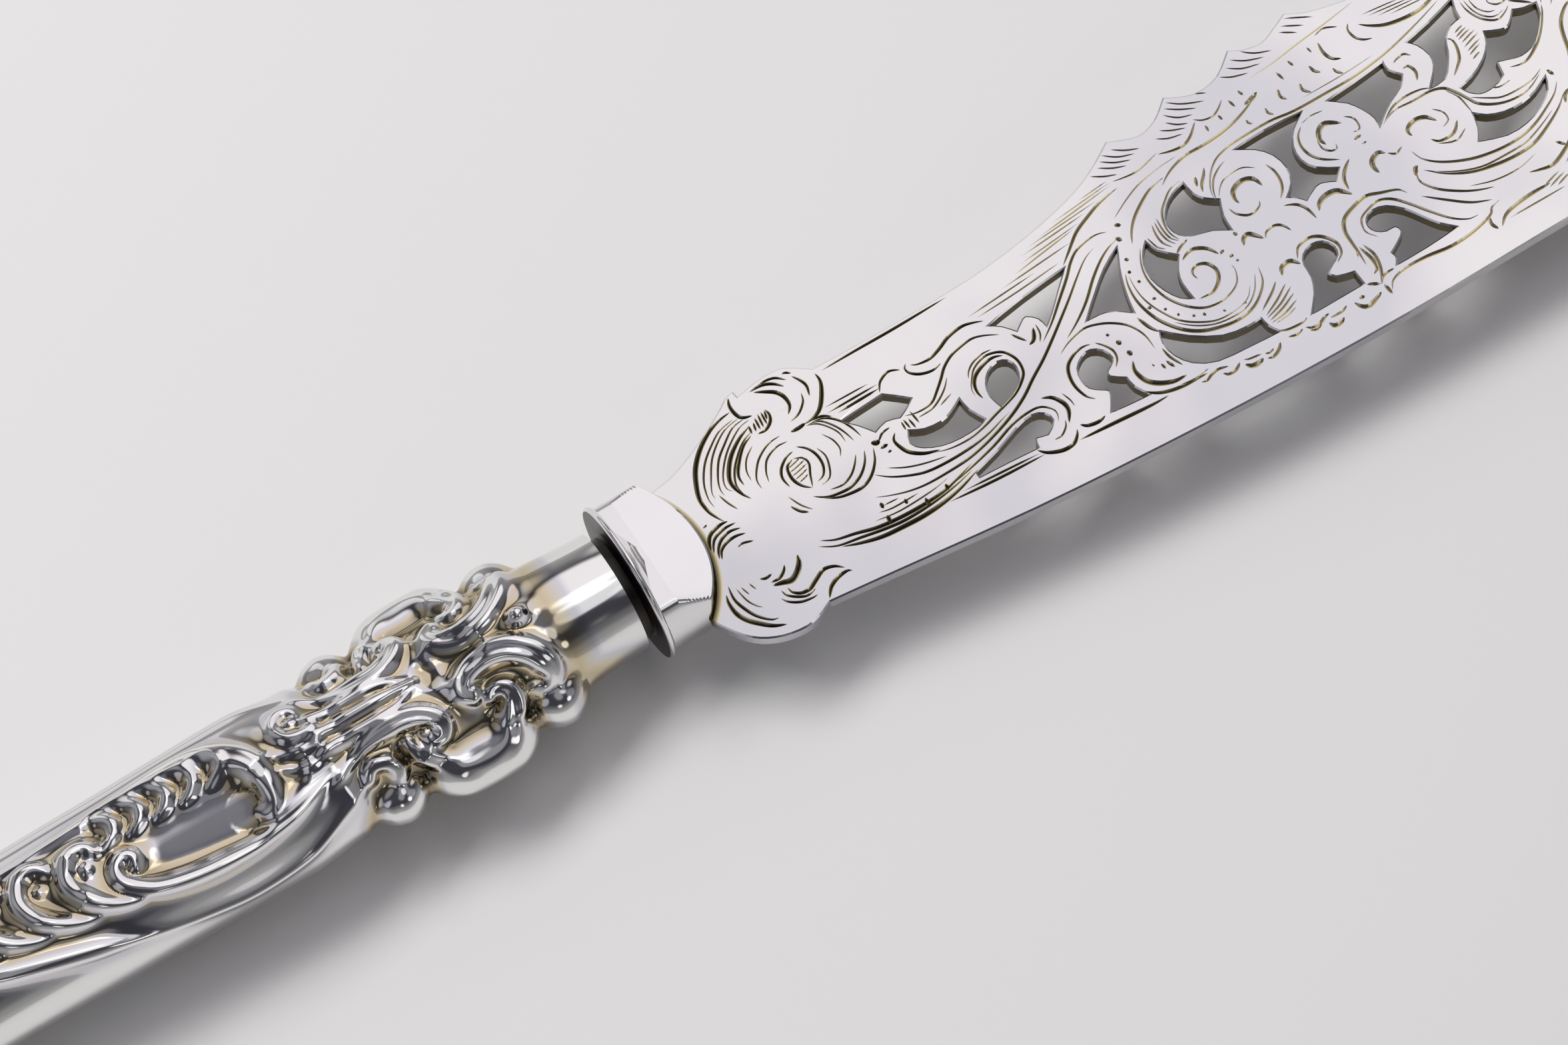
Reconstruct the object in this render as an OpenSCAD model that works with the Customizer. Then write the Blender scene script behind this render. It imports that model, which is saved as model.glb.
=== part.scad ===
// Fish serving knife: pierced flat blade, cast bolster with its tang, and a hollow handle
// struck in two halves and filled with resin. Millimetres.
// The origin is where the bolster's nose meets the blade's upper face, on the handle's axis.
// +X runs to the blade's tip, +Y to the finned back edge, +Z up from the engraved face.

/* [Blade] */
// Length of the blade from the bolster's nose to its tip
blade_l = 188; // [165:1:215]
// Thickness of the blade sheet
blade_t = 1.6; // [1.2:0.1:2.4]
// Distance of the tip from the drawing line, towards the back edge
tip_y = 12; // [6:0.5:16]
// Depth of the belly in front of the piercing
belly_y = 22; // [21.5:0.5:25]
// Angle between the blade's drawing line and the handle's axis
blade_turn = 1.6; // [0:0.1:2.5]
// Offset of the drawing line towards the back edge
blade_shift = 0.4; // [0:0.1:0.8]

/* [Tongue] */
// Length of the tongue inside the bolster
tongue_l = 4.8; // [3:0.1:5.5]
// Width of the tongue
tongue_w = 11; // [8:0.5:12]
// Thickness of the tongue
tongue_t = 1; // [0.8:0.1:1.1]

/* [Bolster] */
// Length of the cap from its nose to its back
cap_l = 6.2; // [5.6:0.1:8]
// Thickness of the cap at its back
cap_h = 10.4; // [9.5:0.1:12]
// Thickness of the cap at its nose
nose_h = 4.6; // [3.5:0.1:6]
// Radius of the cap's curved front, seen from above
front_r = 11.7; // [10.5:0.1:14]
// Radius of the turned body that the cap is cut from
cap_r = 8.5; // [7.6:0.1:9.4]
// Length of the cove between the cap and the flange
cove_l = 2; // [1.5:0.1:3]
// Radius at the bottom of the cove
cove_r = 5.3; // [5:0.1:5.6]
// Radius of the flange
flange_r = 9; // [8:0.1:10.5]
// Thickness of the flange's rim
flange_t = 0.7; // [0.5:0.1:1.2]

/* [Neck and tang] */
// Radius of the neck, and of the ferrule's bore
neck_r = 5.8; // [5.2:0.1:6]
// Length of neck that shows between the flange and the ferrule
neck_gap = 1.4; // [0.8:0.1:2]
// Depth of the neck inside the ferrule
neck_l = 5; // [4:0.5:6.5]
// Length of the tang behind the neck
tang_l = 58; // [30:1:80]
// Width of the tang
tang_w = 6.5; // [4:0.5:8]
// Thickness of the tang
tang_t = 3.2; // [2:0.2:5]

/* [Handle] */
// Length of the handle from the ferrule's mouth to the butt
handle_l = 125; // [105:1:140]
// Length of the plain ferrule
ferrule_l = 7.6; // [7:0.1:8.2]
// Radius of the ferrule at its mouth
mouth_r = 6.8; // [6.5:0.1:7.5]
// Radius of the ferrule at its scrolled end
ferrule_r = 7.2; // [6.9:0.1:8]
// Width of the handle under the scroll cluster
neck_w = 15; // [13:0.5:17]
// Width of the handle's body
body_w = 19; // [17:0.5:22]
// Thickness of the handle's body
body_h = 14.6; // [13:0.2:17]
// Width of the handle near the butt
butt_w = 20.6; // [18:0.2:24]
// Height of the struck ornament
relief_h = 1.3; // [0.6:0.1:1.6]
// Wall between the resin and the ground of the ornament
wall = 1; // [0.7:0.1:1.5]

/* [Hidden] */
$fn = 96;

seam_z = -blade_t / 2;
flange_x = -cap_l - cove_l;
mouth_x = flange_x - flange_t - neck_gap;
neck_end_x = mouth_x - neck_l;

silver = "#e4e2de";
pale_silver = "#f0efec";
resin = "#3a2c22";

// A point of a drawn line is [x, y], or [x, y, 1] where the line has a sharp corner.
// Smooth stretches are Catmull-Rom curves through their points, with n steps from point to point.
function xy(p) = [p[0], p[1]];
function sharp(p) = len(p) > 2;
function curve_at(a, b, c, d, t) =
    0.5 * (2 * b + (c - a) * t + (2 * a - 5 * b + 4 * c - d) * t * t + (3 * b - a - 3 * c + d) * t * t * t);
function closed_line(pts, n) = let(m = len(pts)) [
    for (i = [0:m - 1], s = [0:n - 1])
        let(b = pts[i], c = pts[(i + 1) % m],
            a = sharp(b) ? b : pts[(i + m - 1) % m],
            d = sharp(c) ? c : pts[(i + 2) % m])
        if (s == 0 || !(sharp(b) && sharp(c))) curve_at(xy(a), xy(b), xy(c), xy(d), s / n)
];

// The blade's outline: scalloped root, four fins, plain front, belly and the lobe below the bolster.
pierced_x = 93;
front_l = blade_l - pierced_x;
function ahead(f) = pierced_x + f * front_l;
OUTLINE = [
    [-4, 6, 1], [-1.5, 6.8], [1.3, 7.2], [4, 8.1], [7, 9.4], [9.5, 10.7], [11, 11.6], [12, 11.8, 1],
    [12.1, 11, 1], [14, 11.3], [16, 11.4], [18, 11], [20.3, 9.2, 1],
    [25, 8.9], [32, 8.6], [40, 8.5], [47, 9.1], [53, 10.2], [57, 11.6], [60.6, 13.6, 1],
    [62, 12.9], [64, 12.2], [66.3, 12.8], [68.6, 14.5, 1],
    [70, 13.6], [72, 12.9], [74.7, 13.3], [77.4, 15.2, 1],
    [79, 14.3], [81, 13.9], [83, 14.6], [84.9, 15.4, 1],
    [87, 14.2], [90, 13.3], [pierced_x, 13],
    [ahead(0.13), 14], [ahead(0.34), 15.9], [ahead(0.6), 16.6], [ahead(0.82), 15.4], [blade_l, tip_y, 1],
    [ahead(0.93), tip_y - 6], [ahead(0.8), tip_y - 16], [ahead(0.6), -0.66 * belly_y],
    [ahead(0.36), -0.9 * belly_y], [ahead(0.15), -belly_y], [90, -21.9], [75, -21.5], [60, -20.6],
    [45, -19.3], [30, -17.6], [14, -15.2], [7.2, -14.2, 1],
    [5.5, -14.9], [3.7, -15.2], [1.2, -14.7], [-1, -13.5], [-2.6, -11.7], [-4.1, -9, 1], [-4, -6, 1]
];

// The pierced openings between the scrolls, in order from the root.
WINDOWS = [
    [[19.5, 2.3, 1], [24.6, 2.4, 1], [25.7, 1.4], [26.8, 0.3, 1], [25.8, -0.3], [24.7, -0.8, 1],
     [23.2, -0.3], [21.7, -0.7, 1], [20.7, 0.9]],
    [[24.6, -2.7, 1], [26, -3.5], [28, -3.8], [29.5, -3.4], [30.9, -2.7, 1], [31, -4.2], [31.8, -6.1, 1],
     [30.8, -6.4], [28.5, -6.4], [26.5, -6], [24.8, -5.1], [24, -4]],
    [[34.1, -5.9, 1], [33.8, -4.3], [34.2, -2.9], [35.2, -1.8], [36.5, -1.4], [37.5, -1.9], [37.8, -3],
     [37.3, -4.3], [36.3, -5.1], [35.2, -5.6]],
    [[38.2, 2.7, 1], [43, 3.3], [48.5, 3.7, 1], [46.5, 2], [44.5, 0.2], [43.2, -0.8, 1], [43, 0.4],
     [42, 1.4], [41.2, 1.1], [40.3, 0.5, 1], [39.3, 1.9]],
    [[54.4, 2.5, 1], [52, 1.2], [50, -0.3], [46.9, -2.8, 1], [48.5, -2.9], [50, -3.5], [51.5, -4.8, 1],
     [51.8, -3.4], [52.4, -1.5], [53.2, 0.4]],
    [[27.7, -10.7, 1], [31, -9.9], [34, -8.9], [36, -8.6], [37.2, -9.2], [37.5, -10.3], [36.2, -11.3],
     [34.9, -10.9], [34.5, -12, 1], [31, -11.6], [27.7, -11.3, 1]],
    [[43.1, -13, 1], [44, -11.7], [44.3, -10.8], [43.6, -10.2], [42.8, -9.4], [42.6, -8.3], [43, -6.9],
     [44.2, -6], [45.3, -5.9], [46.3, -6.7], [46.6, -7.9], [46, -8.5], [45.3, -8.9], [45.2, -9.6],
     [46.5, -10.7, 1], [46.6, -12], [47.4, -13.6, 1], [45, -13.3]],
    [[57.2, 1.2, 1], [57.6, -0.3], [59.1, -2, 1], [58, -3.5], [57.5, -5], [57.5, -7, 1], [56.5, -6.2],
     [55.7, -4.6], [55.3, -2.6], [55.6, -0.9], [56.4, 0.4]],
    [[64.4, 4.7, 1], [64.5, 3.2], [65.1, 2], [66.4, 0.9, 1], [65.6, -0.9], [65.4, -2.7, 1], [63.8, -1.6],
     [61.7, -0.9], [60.7, -0.1], [60.3, 1], [60.5, 2.2], [61.6, 3.5], [62.9, 4.3]],
    [[71.2, 4.9, 1], [75, 4.9], [79.5, 4.5, 1], [77.6, 3.3], [76.4, 1.7], [76.1, -0.2], [76.9, -1.9],
     [78.8, -3.3, 1], [77.7, -4.3, 1], [76.6, -3.7], [75.6, -3.6], [73.9, -4.4, 1], [73.3, -3.6],
     [72.5, -3, 1], [73.8, -1.9], [74.5, -0.1], [74.2, 2], [73, 3.7]],
    [[52.5, -8.3, 1], [54.6, -10.5], [57.5, -12.5], [60.2, -13.1], [61.9, -13.1, 1], [62, -14.2],
     [62.6, -15.4, 1], [59, -15], [55.5, -14.5], [53.3, -13.2], [52.2, -11.4], [52, -9.6]],
    [[66.6, -15.7, 1], [68.2, -14], [69.1, -12.2], [69.3, -10.6], [69.9, -9.6], [71.2, -9.1], [72.4, -9.5],
     [73, -10.6], [72.7, -11.6], [71.8, -12.1], [70.6, -12.8, 1], [71.2, -13.7], [73, -14.3, 1],
     [73, -15.9, 1], [70, -15.8]],
    [[77.2, -16.1, 1], [77.7, -15.4], [77.6, -14.7, 1], [78.8, -14.1], [79.9, -13.3], [79.7, -12.3],
     [78.6, -12.2], [77.7, -11.6], [77.4, -10.7], [77.8, -9.9], [78.8, -9.5], [80.2, -9.9], [81.6, -11.3],
     [82.6, -13.1], [83.6, -14.8], [84.8, -16.1, 1], [81, -16.2]],
    [[82.6, 4, 1], [86, 4.1], [90, 4.4, 1], [89.9, 3.3], [90.8, 2, 1], [89.8, 0.9], [88, 0.1],
     [86.5, -0.8], [85.3, -1.7, 1], [85.5, -0.6], [85.1, 0.9], [84.2, 2.6]],
    [[93.6, 4.9, 1], [97, 5.5], [100.5, 6.4, 1], [100, 5.2], [99.8, 4.1, 1], [98.5, 3.9], [97.1, 2.9],
     [96.4, 1.5], [95.4, 0.1], [94.2, -1], [92.3, -1.1, 1], [93.3, -0.2], [94.3, 0.9], [94.7, 2.3],
     [94.3, 4]],
    [[95, -2.9, 1], [96.9, -2.5], [99, -1.5], [100.4, -0.2], [101, 1.1, 1], [102.5, 0.3], [103.4, 0.2],
     [104.2, 0.7], [105, 1.5, 1], [106.1, 1], [107.5, 0.8, 1], [106.9, -0.7], [105.4, -2.4], [104, -3.2],
     [102.4, -3.4], [101.2, -3], [99.9, -2.5, 1], [99.5, -4.2, 1], [98.6, -4.6], [97.3, -4.8],
     [96.2, -4.6], [95.4, -3.8]],
    [[94.2, -6.2, 1], [95.2, -7.2], [97, -8], [99.2, -8.2], [101.3, -7.8], [103, -7, 1], [102.2, -8.4],
     [100.4, -9.6], [98.2, -10.3], [95.6, -10.3], [92.8, -9.2, 1], [93.7, -7.9]]
];

// Puts the blade's drawing into the knife's frame
module on_drawing_line() {
    rotate([0, 0, blade_turn]) translate([0, blade_shift, 0]) children();
}

// Round body about the handle's axis from x0 to x1
module along_axis(r, x0, x1) {
    translate([x0, 0, seam_z]) rotate([0, 90, 0]) cylinder(r = r, h = x1 - x0);
}

// The cap before it is slotted: a round body with sloping flats and a curved front
module cap_blank() {
    intersection() {
        along_axis(cap_r, flange_x, 0);
        translate([0, flange_r, seam_z]) rotate([90, 0, 0]) linear_extrude(2 * flange_r)
            polygon([[flange_x, -cap_h / 2], [-cap_l, -cap_h / 2], [0, -nose_h / 2],
                     [0, nose_h / 2], [-cap_l, cap_h / 2], [flange_x, cap_h / 2]]);
        translate([-front_r, 0, seam_z - cap_h]) cylinder(r = front_r, h = 2 * cap_h);
    }
}

// The thin root of the blade, up to the cap's curved front
module tongue() {
    intersection() {
        translate([-tongue_l, -tongue_w / 2, seam_z - tongue_t / 2]) cube([2 * tongue_l, tongue_w, tongue_t]);
        translate([-front_r, 0, seam_z - tongue_t]) cylinder(r = front_r, h = 2 * tongue_t);
    }
}

module blade() {
    color(pale_silver) {
        difference() {
            on_drawing_line() translate([0, 0, -blade_t]) linear_extrude(blade_t) difference() {
                polygon(closed_line(OUTLINE, 3));
                for (w = WINDOWS) polygon(closed_line(w, 2));
            }
            cap_blank();
        }
        tongue();
    }
}

// Turned part of the bolster: hollow cove, flange and neck
COVE_STEPS = 8;
COVE = [for (i = [0:COVE_STEPS]) let(a = 90 * i / COVE_STEPS)
    [flange_r - (flange_r - cove_r) * sin(a), flange_x + cove_l * (1 - cos(a))]];
module turned_part() {
    translate([0, 0, seam_z]) rotate([0, 90, 0]) rotate_extrude() polygon(concat(
        [[0, -cap_l], [0, neck_end_x], [neck_r, neck_end_x], [neck_r, flange_x - flange_t],
         [flange_r, flange_x - flange_t]], COVE));
}

module tang() {
    translate([neck_end_x - tang_l, -tang_w / 2, seam_z - tang_t / 2]) cube([tang_l, tang_w, tang_t]);
}

module bolster() {
    color(silver) {
        difference() {
            cap_blank();
            tongue();
        }
        turned_part();
        tang();
    }
}

// The handle's ground form: [distance behind the mouth, half width, half thickness].
// Behind the scroll cluster the stations follow the length of the handle.
neck_hw = neck_w / 2;
body_hw = body_w / 2;
body_hh = body_h / 2;
butt_hw = butt_w / 2;
plain_l = handle_l - 75;
GROUND = [
    [0, mouth_r, mouth_r], [ferrule_l, ferrule_r, ferrule_r],
    [ferrule_l + 0.6, neck_hw - 0.6, 6.3], [12, neck_hw - 0.2, 6.2], [20, neck_hw + 0.2, 6.3],
    [27, neck_hw - 0.1, 6.2], [32, neck_hw + 0.1, 6.2], [33.8, neck_hw, 5.9],
    [36, body_hw - 0.5, body_hh - 0.3], [42, body_hw, body_hh], [60, body_hw - 0.3, body_hh],
    [75, body_hw - 0.5, body_hh - 0.1], [75 + 0.45 * plain_l, body_hw + 0.1, body_hh + 0.1],
    [75 + 0.75 * plain_l, butt_hw, body_hh + 0.5], [75 + 0.88 * plain_l, butt_hw - 0.3, body_hh + 0.2],
    [75 + 0.96 * plain_l, butt_hw - 2.6, body_hh - 1.6], [75 + 0.99 * plain_l, butt_hw - 5.6, body_hh - 3.6],
    [handle_l, butt_hw - 8.4, body_hh - 6]
];
function ground(d, k) = let(
    n = len(GROUND), m = max([for (i = [0:n - 2]) if (GROUND[i][0] <= d) i]),
    b = GROUND[m], c = GROUND[m + 1], t = (d - b[0]) / (c[0] - b[0]))
    b[k] + (c[k] - b[k]) * (3 - 2 * t) * t * t;

// The struck ornament. u runs across the face in millimetres from the crest, half_girth at the seam.
// A stroke is [half width, share of relief_h, points as [distance behind the mouth, u]].
half_girth = 13.4;
// The scroll cluster is the same on both sides of the crest
CLUSTER = [
    [1.2, 1, [[18.7, 5.1], [19.4, 4], [18.6, 2.9], [17.1, 2.3], [15.4, 2.4], [13.6, 3], [12.1, 4.3],
                [11.1, 5.9], [10.7, 7.5], [11.1, 9], [12, 9.5], [12.6, 8.5]]],
    [1.5, 1.7, [[26.6, 5.9], [26.1, 7.6], [24.7, 9.6], [22.8, 11.4], [20.7, 12.4], [18.5, 11.6],
                [16.7, 9.6], [15.7, 7.8], [15.7, 6.4], [16.7, 5.7], [17.3, 6.5]]],
    [1.2, 1, [[33.4, 4.4], [30.9, 3.3], [28.5, 3], [26, 3.2], [24.2, 4.2], [23.2, 5.6], [23.6, 7.2],
                [24.8, 7.2], [24.9, 6.3]]],
    [1.1, 1, [[32.2, 7.4], [31.5, 6.1], [29.8, 6.7], [29.3, 8.4], [30.2, 10], [32, 11]]],
    [1.4, 0.9, [[33, 0], [24, 0]]],
    [1.2, 0.8, [[19.5, 0], [13, 0]]],
    [1.3, 1.2, [[11.1, 0], [11.1, 0.1]]],
    [2.8, 1.3, [[29.6, 12.6], [29.6, 14]]],
    [2.6, 1.5, [[10.9, 12], [10.9, 14]]]
];
// The field behind it, struck the same way on every handle
FIELD = [
    [1, 0.8, [[57.5, -1.8], [57.3, -1], [58.2, -0.5], [59.2, -1.1], [59.3, -2.3], [58.2, -3.4], [56.1, -4.6],
            [52.1, -5.5], [48.1, -5.8], [44.2, -6], [40.2, -5.6], [37.2, -4.8], [34.9, -3.9]]],
    [1.2, 0.85, [[73.7, 4.7], [65.7, 4.8], [58.7, 5.3], [52, 6], [48, 5.7], [45.1, 4.8], [43.2, 3.2],
                [41.9, 1.6], [41.5, -0.2], [41.7, -1.9], [41.6, -2.9], [42.5, -3.8], [43.6, -3.3]]],
    [1, 0.7, [[80, -1.5], [73.7, -3.8], [69.9, -5.6], [65.9, -7.1], [62, -8], [56, -8.4], [50.1, -8.8],
              [44.2, -8.8], [39.3, -8.3], [35.3, -7.2]]],
    [0.8, 0.7, [[34.5, 1.1], [35.8, 1], [37.3, 1.4], [37.9, 2.8], [36.9, 4], [35.6, 3.9], [35.2, 2.8]]],
    [0.9, 0.6, [[40.7, 0.9], [37.7, -0.5], [34.7, -0.7]]],
    for (i = [0:4]) [1, 0.7, [for (p = [[-0.6, 4.3], [-1, 3.4], [-0.8, 2.4], [0.4, 1.2]])
        [45.3 + 3.1 * i + p[0], p[1]]]],
    for (i = [0:2]) [1.1, 0.85, [for (p = [[59.8, 0.5], [60.8, 1.8], [62.4, 1.4], [63.1, 0], [62.7, -1.9],
        [61, -3.9], [58.6, -5.2]]) [p[0] + 5.2 * i, p[1] + 0.7 * i]]],
    for (side = [-1, 1], u = [11.4, 13.4]) [0.9, 0.4, [[35.5, side * u], [0.93 * handle_l, side * u]]]
];
function with_reach(strokes) = [for (s = strokes) let(ds = [for (p = s[2]) p[0]])
    [s[0], s[1], s[2], min(ds) - s[0], max(ds) + s[0]]];
CLUSTER_REACH = with_reach(CLUSTER);
FIELD_REACH = with_reach(FIELD);
function off_segment(p, a, b) = let(ab = b - a, t = max(0, min(1, (p - a) * ab / (ab * ab))))
    norm(p - a - t * ab);
function ridge(p, s) = let(
    off = min([for (i = [0:len(s[2]) - 2]) off_segment(p, s[2][i], s[2][i + 1])]) / s[0])
    off < 1 ? s[1] * sqrt(1 - off * off) : 0;
function ornament(p, strokes) = max([0, for (s = strokes) ridge(p, s)]) * relief_h;

// Rings of the struck half, from the mouth to the butt
RINGS = [0, 3.8, ferrule_l, each [8.4:0.85:33.9], each [34.6:1.5:76],
    for (i = [1:8]) 76 + i * (0.88 * handle_l - 76) / 8,
    for (f = [0.91, 0.94, 0.965, 0.98, 0.99, 1]) f * handle_l];
SIDE = 13;
function struck_ring(d) = let(
    w = ground(d, 1), h = ground(d, 2),
    pair = [for (s = CLUSTER_REACH) if (d > s[3] && d < s[4]) s],
    single = [for (s = FIELD_REACH) if (d > s[3] && d < s[4]) s])
    [for (j = [-SIDE:SIDE]) let(
        a = 90 * j / SIDE, u = half_girth * j / SIDE,
        rise = max(ornament([d, abs(u)], pair), ornament([d, u], single)),
        out = [sin(a) / w, cos(a) / h] / norm([sin(a) / w, cos(a) / h]))
        [mouth_x - d, w * sin(a) + rise * out[0], seam_z + h * cos(a) + rise * out[1]]];

module struck_half() {
    rings = [for (d = RINGS) struck_ring(d)];
    n = len(rings);
    m = 2 * SIDE + 1;
    polyhedron(
        points = [for (r = rings) each r],
        faces = concat(
            [for (i = [0:n - 2], j = [0:m - 2]) let(p = i * m + j)
                each [[p, p + m, p + m + 1], [p, p + m + 1, p + 1]]],
            [[for (j = [0:m - 1]) j]],
            [[for (j = [m - 1:-1:0]) (n - 1) * m + j]],
            [for (i = [0:n - 2]) let(p = i * m) each
                [[p + m - 1, p + 2 * m - 1, p + m], [p + m - 1, p + m, p]]]
        )
    );
}

// The hollow inside, filled with resin
CORE_RINGS = [neck_l, ferrule_l, ferrule_l + 0.6, 14, 27, 33.8, 36.5, 42, 60, 75, 75 + 0.45 * plain_l,
    75 + 0.75 * plain_l, 75 + 0.88 * plain_l, 75 + 0.95 * plain_l];
CORE_SIDE = 20;
module core() {
    n = len(CORE_RINGS);
    m = CORE_SIDE;
    polyhedron(
        points = [for (d = CORE_RINGS, j = [0:m - 1]) let(a = 360 * j / m)
            [mouth_x - d, (ground(d, 1) - wall) * sin(a), seam_z + (ground(d, 2) - wall) * cos(a)]],
        faces = concat(
            [for (i = [0:n - 2], j = [0:m - 1]) let(p = i * m + j, q = i * m + (j + 1) % m)
                each [[p, p + m, q + m], [p, q + m, q]]],
            [[for (j = [0:m - 1]) j]],
            [[for (j = [m - 1:-1:0]) (n - 1) * m + j]]
        )
    );
}

module handle_half() {
    difference() {
        struck_half();
        core();
        along_axis(neck_r, neck_end_x, mouth_x + 1);
    }
}

module handle_shell_upper() {
    color(silver) handle_half();
}

// The lower half comes from the same die, turned over about the handle's axis
module handle_shell_lower() {
    color(silver) translate([0, 0, seam_z]) rotate([180, 0, 0]) translate([0, 0, -seam_z]) handle_half();
}

module handle_filler() {
    color(resin) difference() {
        core();
        tang();
    }
}

blade();
bolster();
handle_shell_upper();
handle_shell_lower();
handle_filler();
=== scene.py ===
"""Looks of a pierced and engraved fish serving knife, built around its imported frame.

Shapes are worked out in millimetres and turned into metres when they become meshes.
The blade's drawing is turned a little from the handle's axis, as the blade is in the frame.
"""

import bpy
import numpy as np
from mathutils import Matrix, Vector
from mathutils.geometry import delaunay_2d_cdt


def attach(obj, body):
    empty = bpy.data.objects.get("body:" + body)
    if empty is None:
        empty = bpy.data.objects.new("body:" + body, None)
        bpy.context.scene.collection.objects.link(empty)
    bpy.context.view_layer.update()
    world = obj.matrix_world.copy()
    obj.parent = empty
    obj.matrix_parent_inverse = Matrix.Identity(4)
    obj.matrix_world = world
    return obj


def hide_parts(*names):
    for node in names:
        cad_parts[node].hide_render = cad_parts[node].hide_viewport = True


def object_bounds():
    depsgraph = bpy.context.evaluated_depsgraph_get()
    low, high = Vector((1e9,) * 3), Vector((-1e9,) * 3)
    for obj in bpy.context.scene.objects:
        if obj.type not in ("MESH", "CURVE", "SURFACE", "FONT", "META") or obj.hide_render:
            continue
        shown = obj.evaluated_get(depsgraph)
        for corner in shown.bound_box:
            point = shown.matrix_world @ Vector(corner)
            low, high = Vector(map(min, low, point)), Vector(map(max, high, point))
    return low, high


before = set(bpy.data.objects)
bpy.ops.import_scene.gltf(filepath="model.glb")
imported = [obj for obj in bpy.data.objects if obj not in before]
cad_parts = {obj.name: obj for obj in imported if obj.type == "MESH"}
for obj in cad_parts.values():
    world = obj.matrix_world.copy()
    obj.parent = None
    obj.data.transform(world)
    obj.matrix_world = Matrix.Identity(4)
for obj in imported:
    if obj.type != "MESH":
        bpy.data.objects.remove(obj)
CAD_BOX = [list(corner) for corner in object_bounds()]

bl_info = {
    "name": "Fish serving knife",
    "version": (1, 0, 0),
    "blender": (4, 5, 0),
    "location": "View3D > Sidebar > Fish knife",
    "description": "Builds the engraved blade, the bolster and the struck handle of a fish serving knife",
    "category": "Object",
}

MM = 0.001

# Driving sizes of the frame, in millimetres, with the blade's turn in degrees
BLADE_T = 1.6
BLADE_TURN = 1.6
BLADE_SHIFT = 0.4
CAP_L = 6.2
CAP_H = 10.4
NOSE_H = 4.6
FRONT_R = 11.7
CAP_R = 8.5
COVE_L = 2.0
FLANGE_R = 9.0
FLANGE_T = 0.7
NECK_R = 5.8
NECK_GAP = 1.4
NECK_L = 5.0
HANDLE_L = 125.0
FERRULE_L = 7.6
FERRULE_R = 7.2
MOUTH_R = 6.8
NECK_HW = 15.0 / 2
BODY_HW = 19.0 / 2
BODY_HH = 14.6 / 2
BUTT_HW = 20.6 / 2
SEAM_Z = -BLADE_T / 2
FLANGE_X = -CAP_L - COVE_L
MOUTH_X = FLANGE_X - FLANGE_T - NECK_GAP

# Meshes: the angle past which an edge is sharp, the steps in each span of a smooth line, how many points are
# measured at a time, and what counts as the same level, the same point, the same corner and nothing at all
SHARP_ANGLE = 0.35
SPAN_STEPS = 4
BLOCK = 4096
SAME_LEVEL = 0.001
SAME_POINT = 1e-5
WELD_DIGITS = 4
TINY = 1e-12

# Engraving: the finest cut's width, the power by which a cut swells from its ends, and how far in from its
# bank it is fully dark. Its tarnish thins from a place along the blade, over a length and by a share.
THIN_CUT = 0.07
CUT_SWELL = 0.55
DARK_REACH = 0.17
THIN_FROM = 40
THIN_OVER = 18
THINNED = 0.68

# The tarnished line in front of the bolster: its half angle in degrees, the points on each of its rings, and
# the place along the blade past which there is none
LINE_ANGLE = 50
LINE_POINTS = 60
LINE_END = 4

# Bolster: the cap's section joins its circle and its flats by a high power. The cap runs from 0 to 2, the
# part inside the cove first, and its nose is rounded from a place on that run, over a length and by a height.
# Bends are a first and last angle and a number of points. The cove laps into the cap and the flange's rim.
CAP_POWER = 40.0
CAP_ROWS = 61
CAP_COLUMNS = 280
CAP_ROUNDS = 8
NOSE_FROM = 1.95
NOSE_RUN = 0.05
NOSE_DROP = 0.15
TURNED_COLUMNS = 160
COVE_BEND = (90, 8, 16)
COVE_SINK = 0.05
RIM_BEND = (60, -90, 12)
RIM_SINK = 0.1
FILLET_BEND = (0, 90, 6)
FILLET_R = 0.3
AXIS_R = 0.01
NECK_LAP = 0.01

# Handle: where its plain end starts and how long that is, the butt's length, the rows of points along one
# half, close together up to a distance, its columns, and how far round it reaches from its crest
PLAIN_FROM = 75
PLAIN_L = HANDLE_L - PLAIN_FROM
BUTT_L = 0.07 * HANDLE_L
FERRULE_ROWS = 14
DENSE_L = 80
DENSE_STEP = 0.2
PLAIN_STEP = 1.0
BUTT_ROWS = 26
GIRTH_COLUMNS = 215
HALF_GIRTH = 13.4

# The handle's ground form: distance behind its mouth, half width and half thickness
STATIONS = np.array([
    [0, MOUTH_R, MOUTH_R], [FERRULE_L, FERRULE_R, FERRULE_R], [FERRULE_L + 4, NECK_HW - 0.3, 6.9],
    [20, NECK_HW + 0.2, 6.3], [27, NECK_HW - 0.1, 6.2], [31, NECK_HW + 0.1, 6.2], [32.2, NECK_HW + 0.3, 6.1],
    [35, BODY_HW - 0.5, BODY_HH - 0.4], [41, BODY_HW, BODY_HH], [60, BODY_HW - 0.3, BODY_HH],
    [PLAIN_FROM, BODY_HW - 0.5, BODY_HH - 0.1],
    [PLAIN_FROM + 0.45 * PLAIN_L, BODY_HW + 0.1, BODY_HH + 0.1],
    [PLAIN_FROM + 0.75 * PLAIN_L, BUTT_HW, BODY_HH + 0.5],
    [PLAIN_FROM + 0.88 * PLAIN_L, BUTT_HW - 0.3, BODY_HH + 0.2],
    [PLAIN_FROM + 0.96 * PLAIN_L, BUTT_HW - 2.6, BODY_HH - 1.6],
    [PLAIN_FROM + 0.99 * PLAIN_L, BUTT_HW - 5.6, BODY_HH - 3.6],
    [HANDLE_L, BUTT_HW - 8.4, BODY_HH - 6],
])

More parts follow.
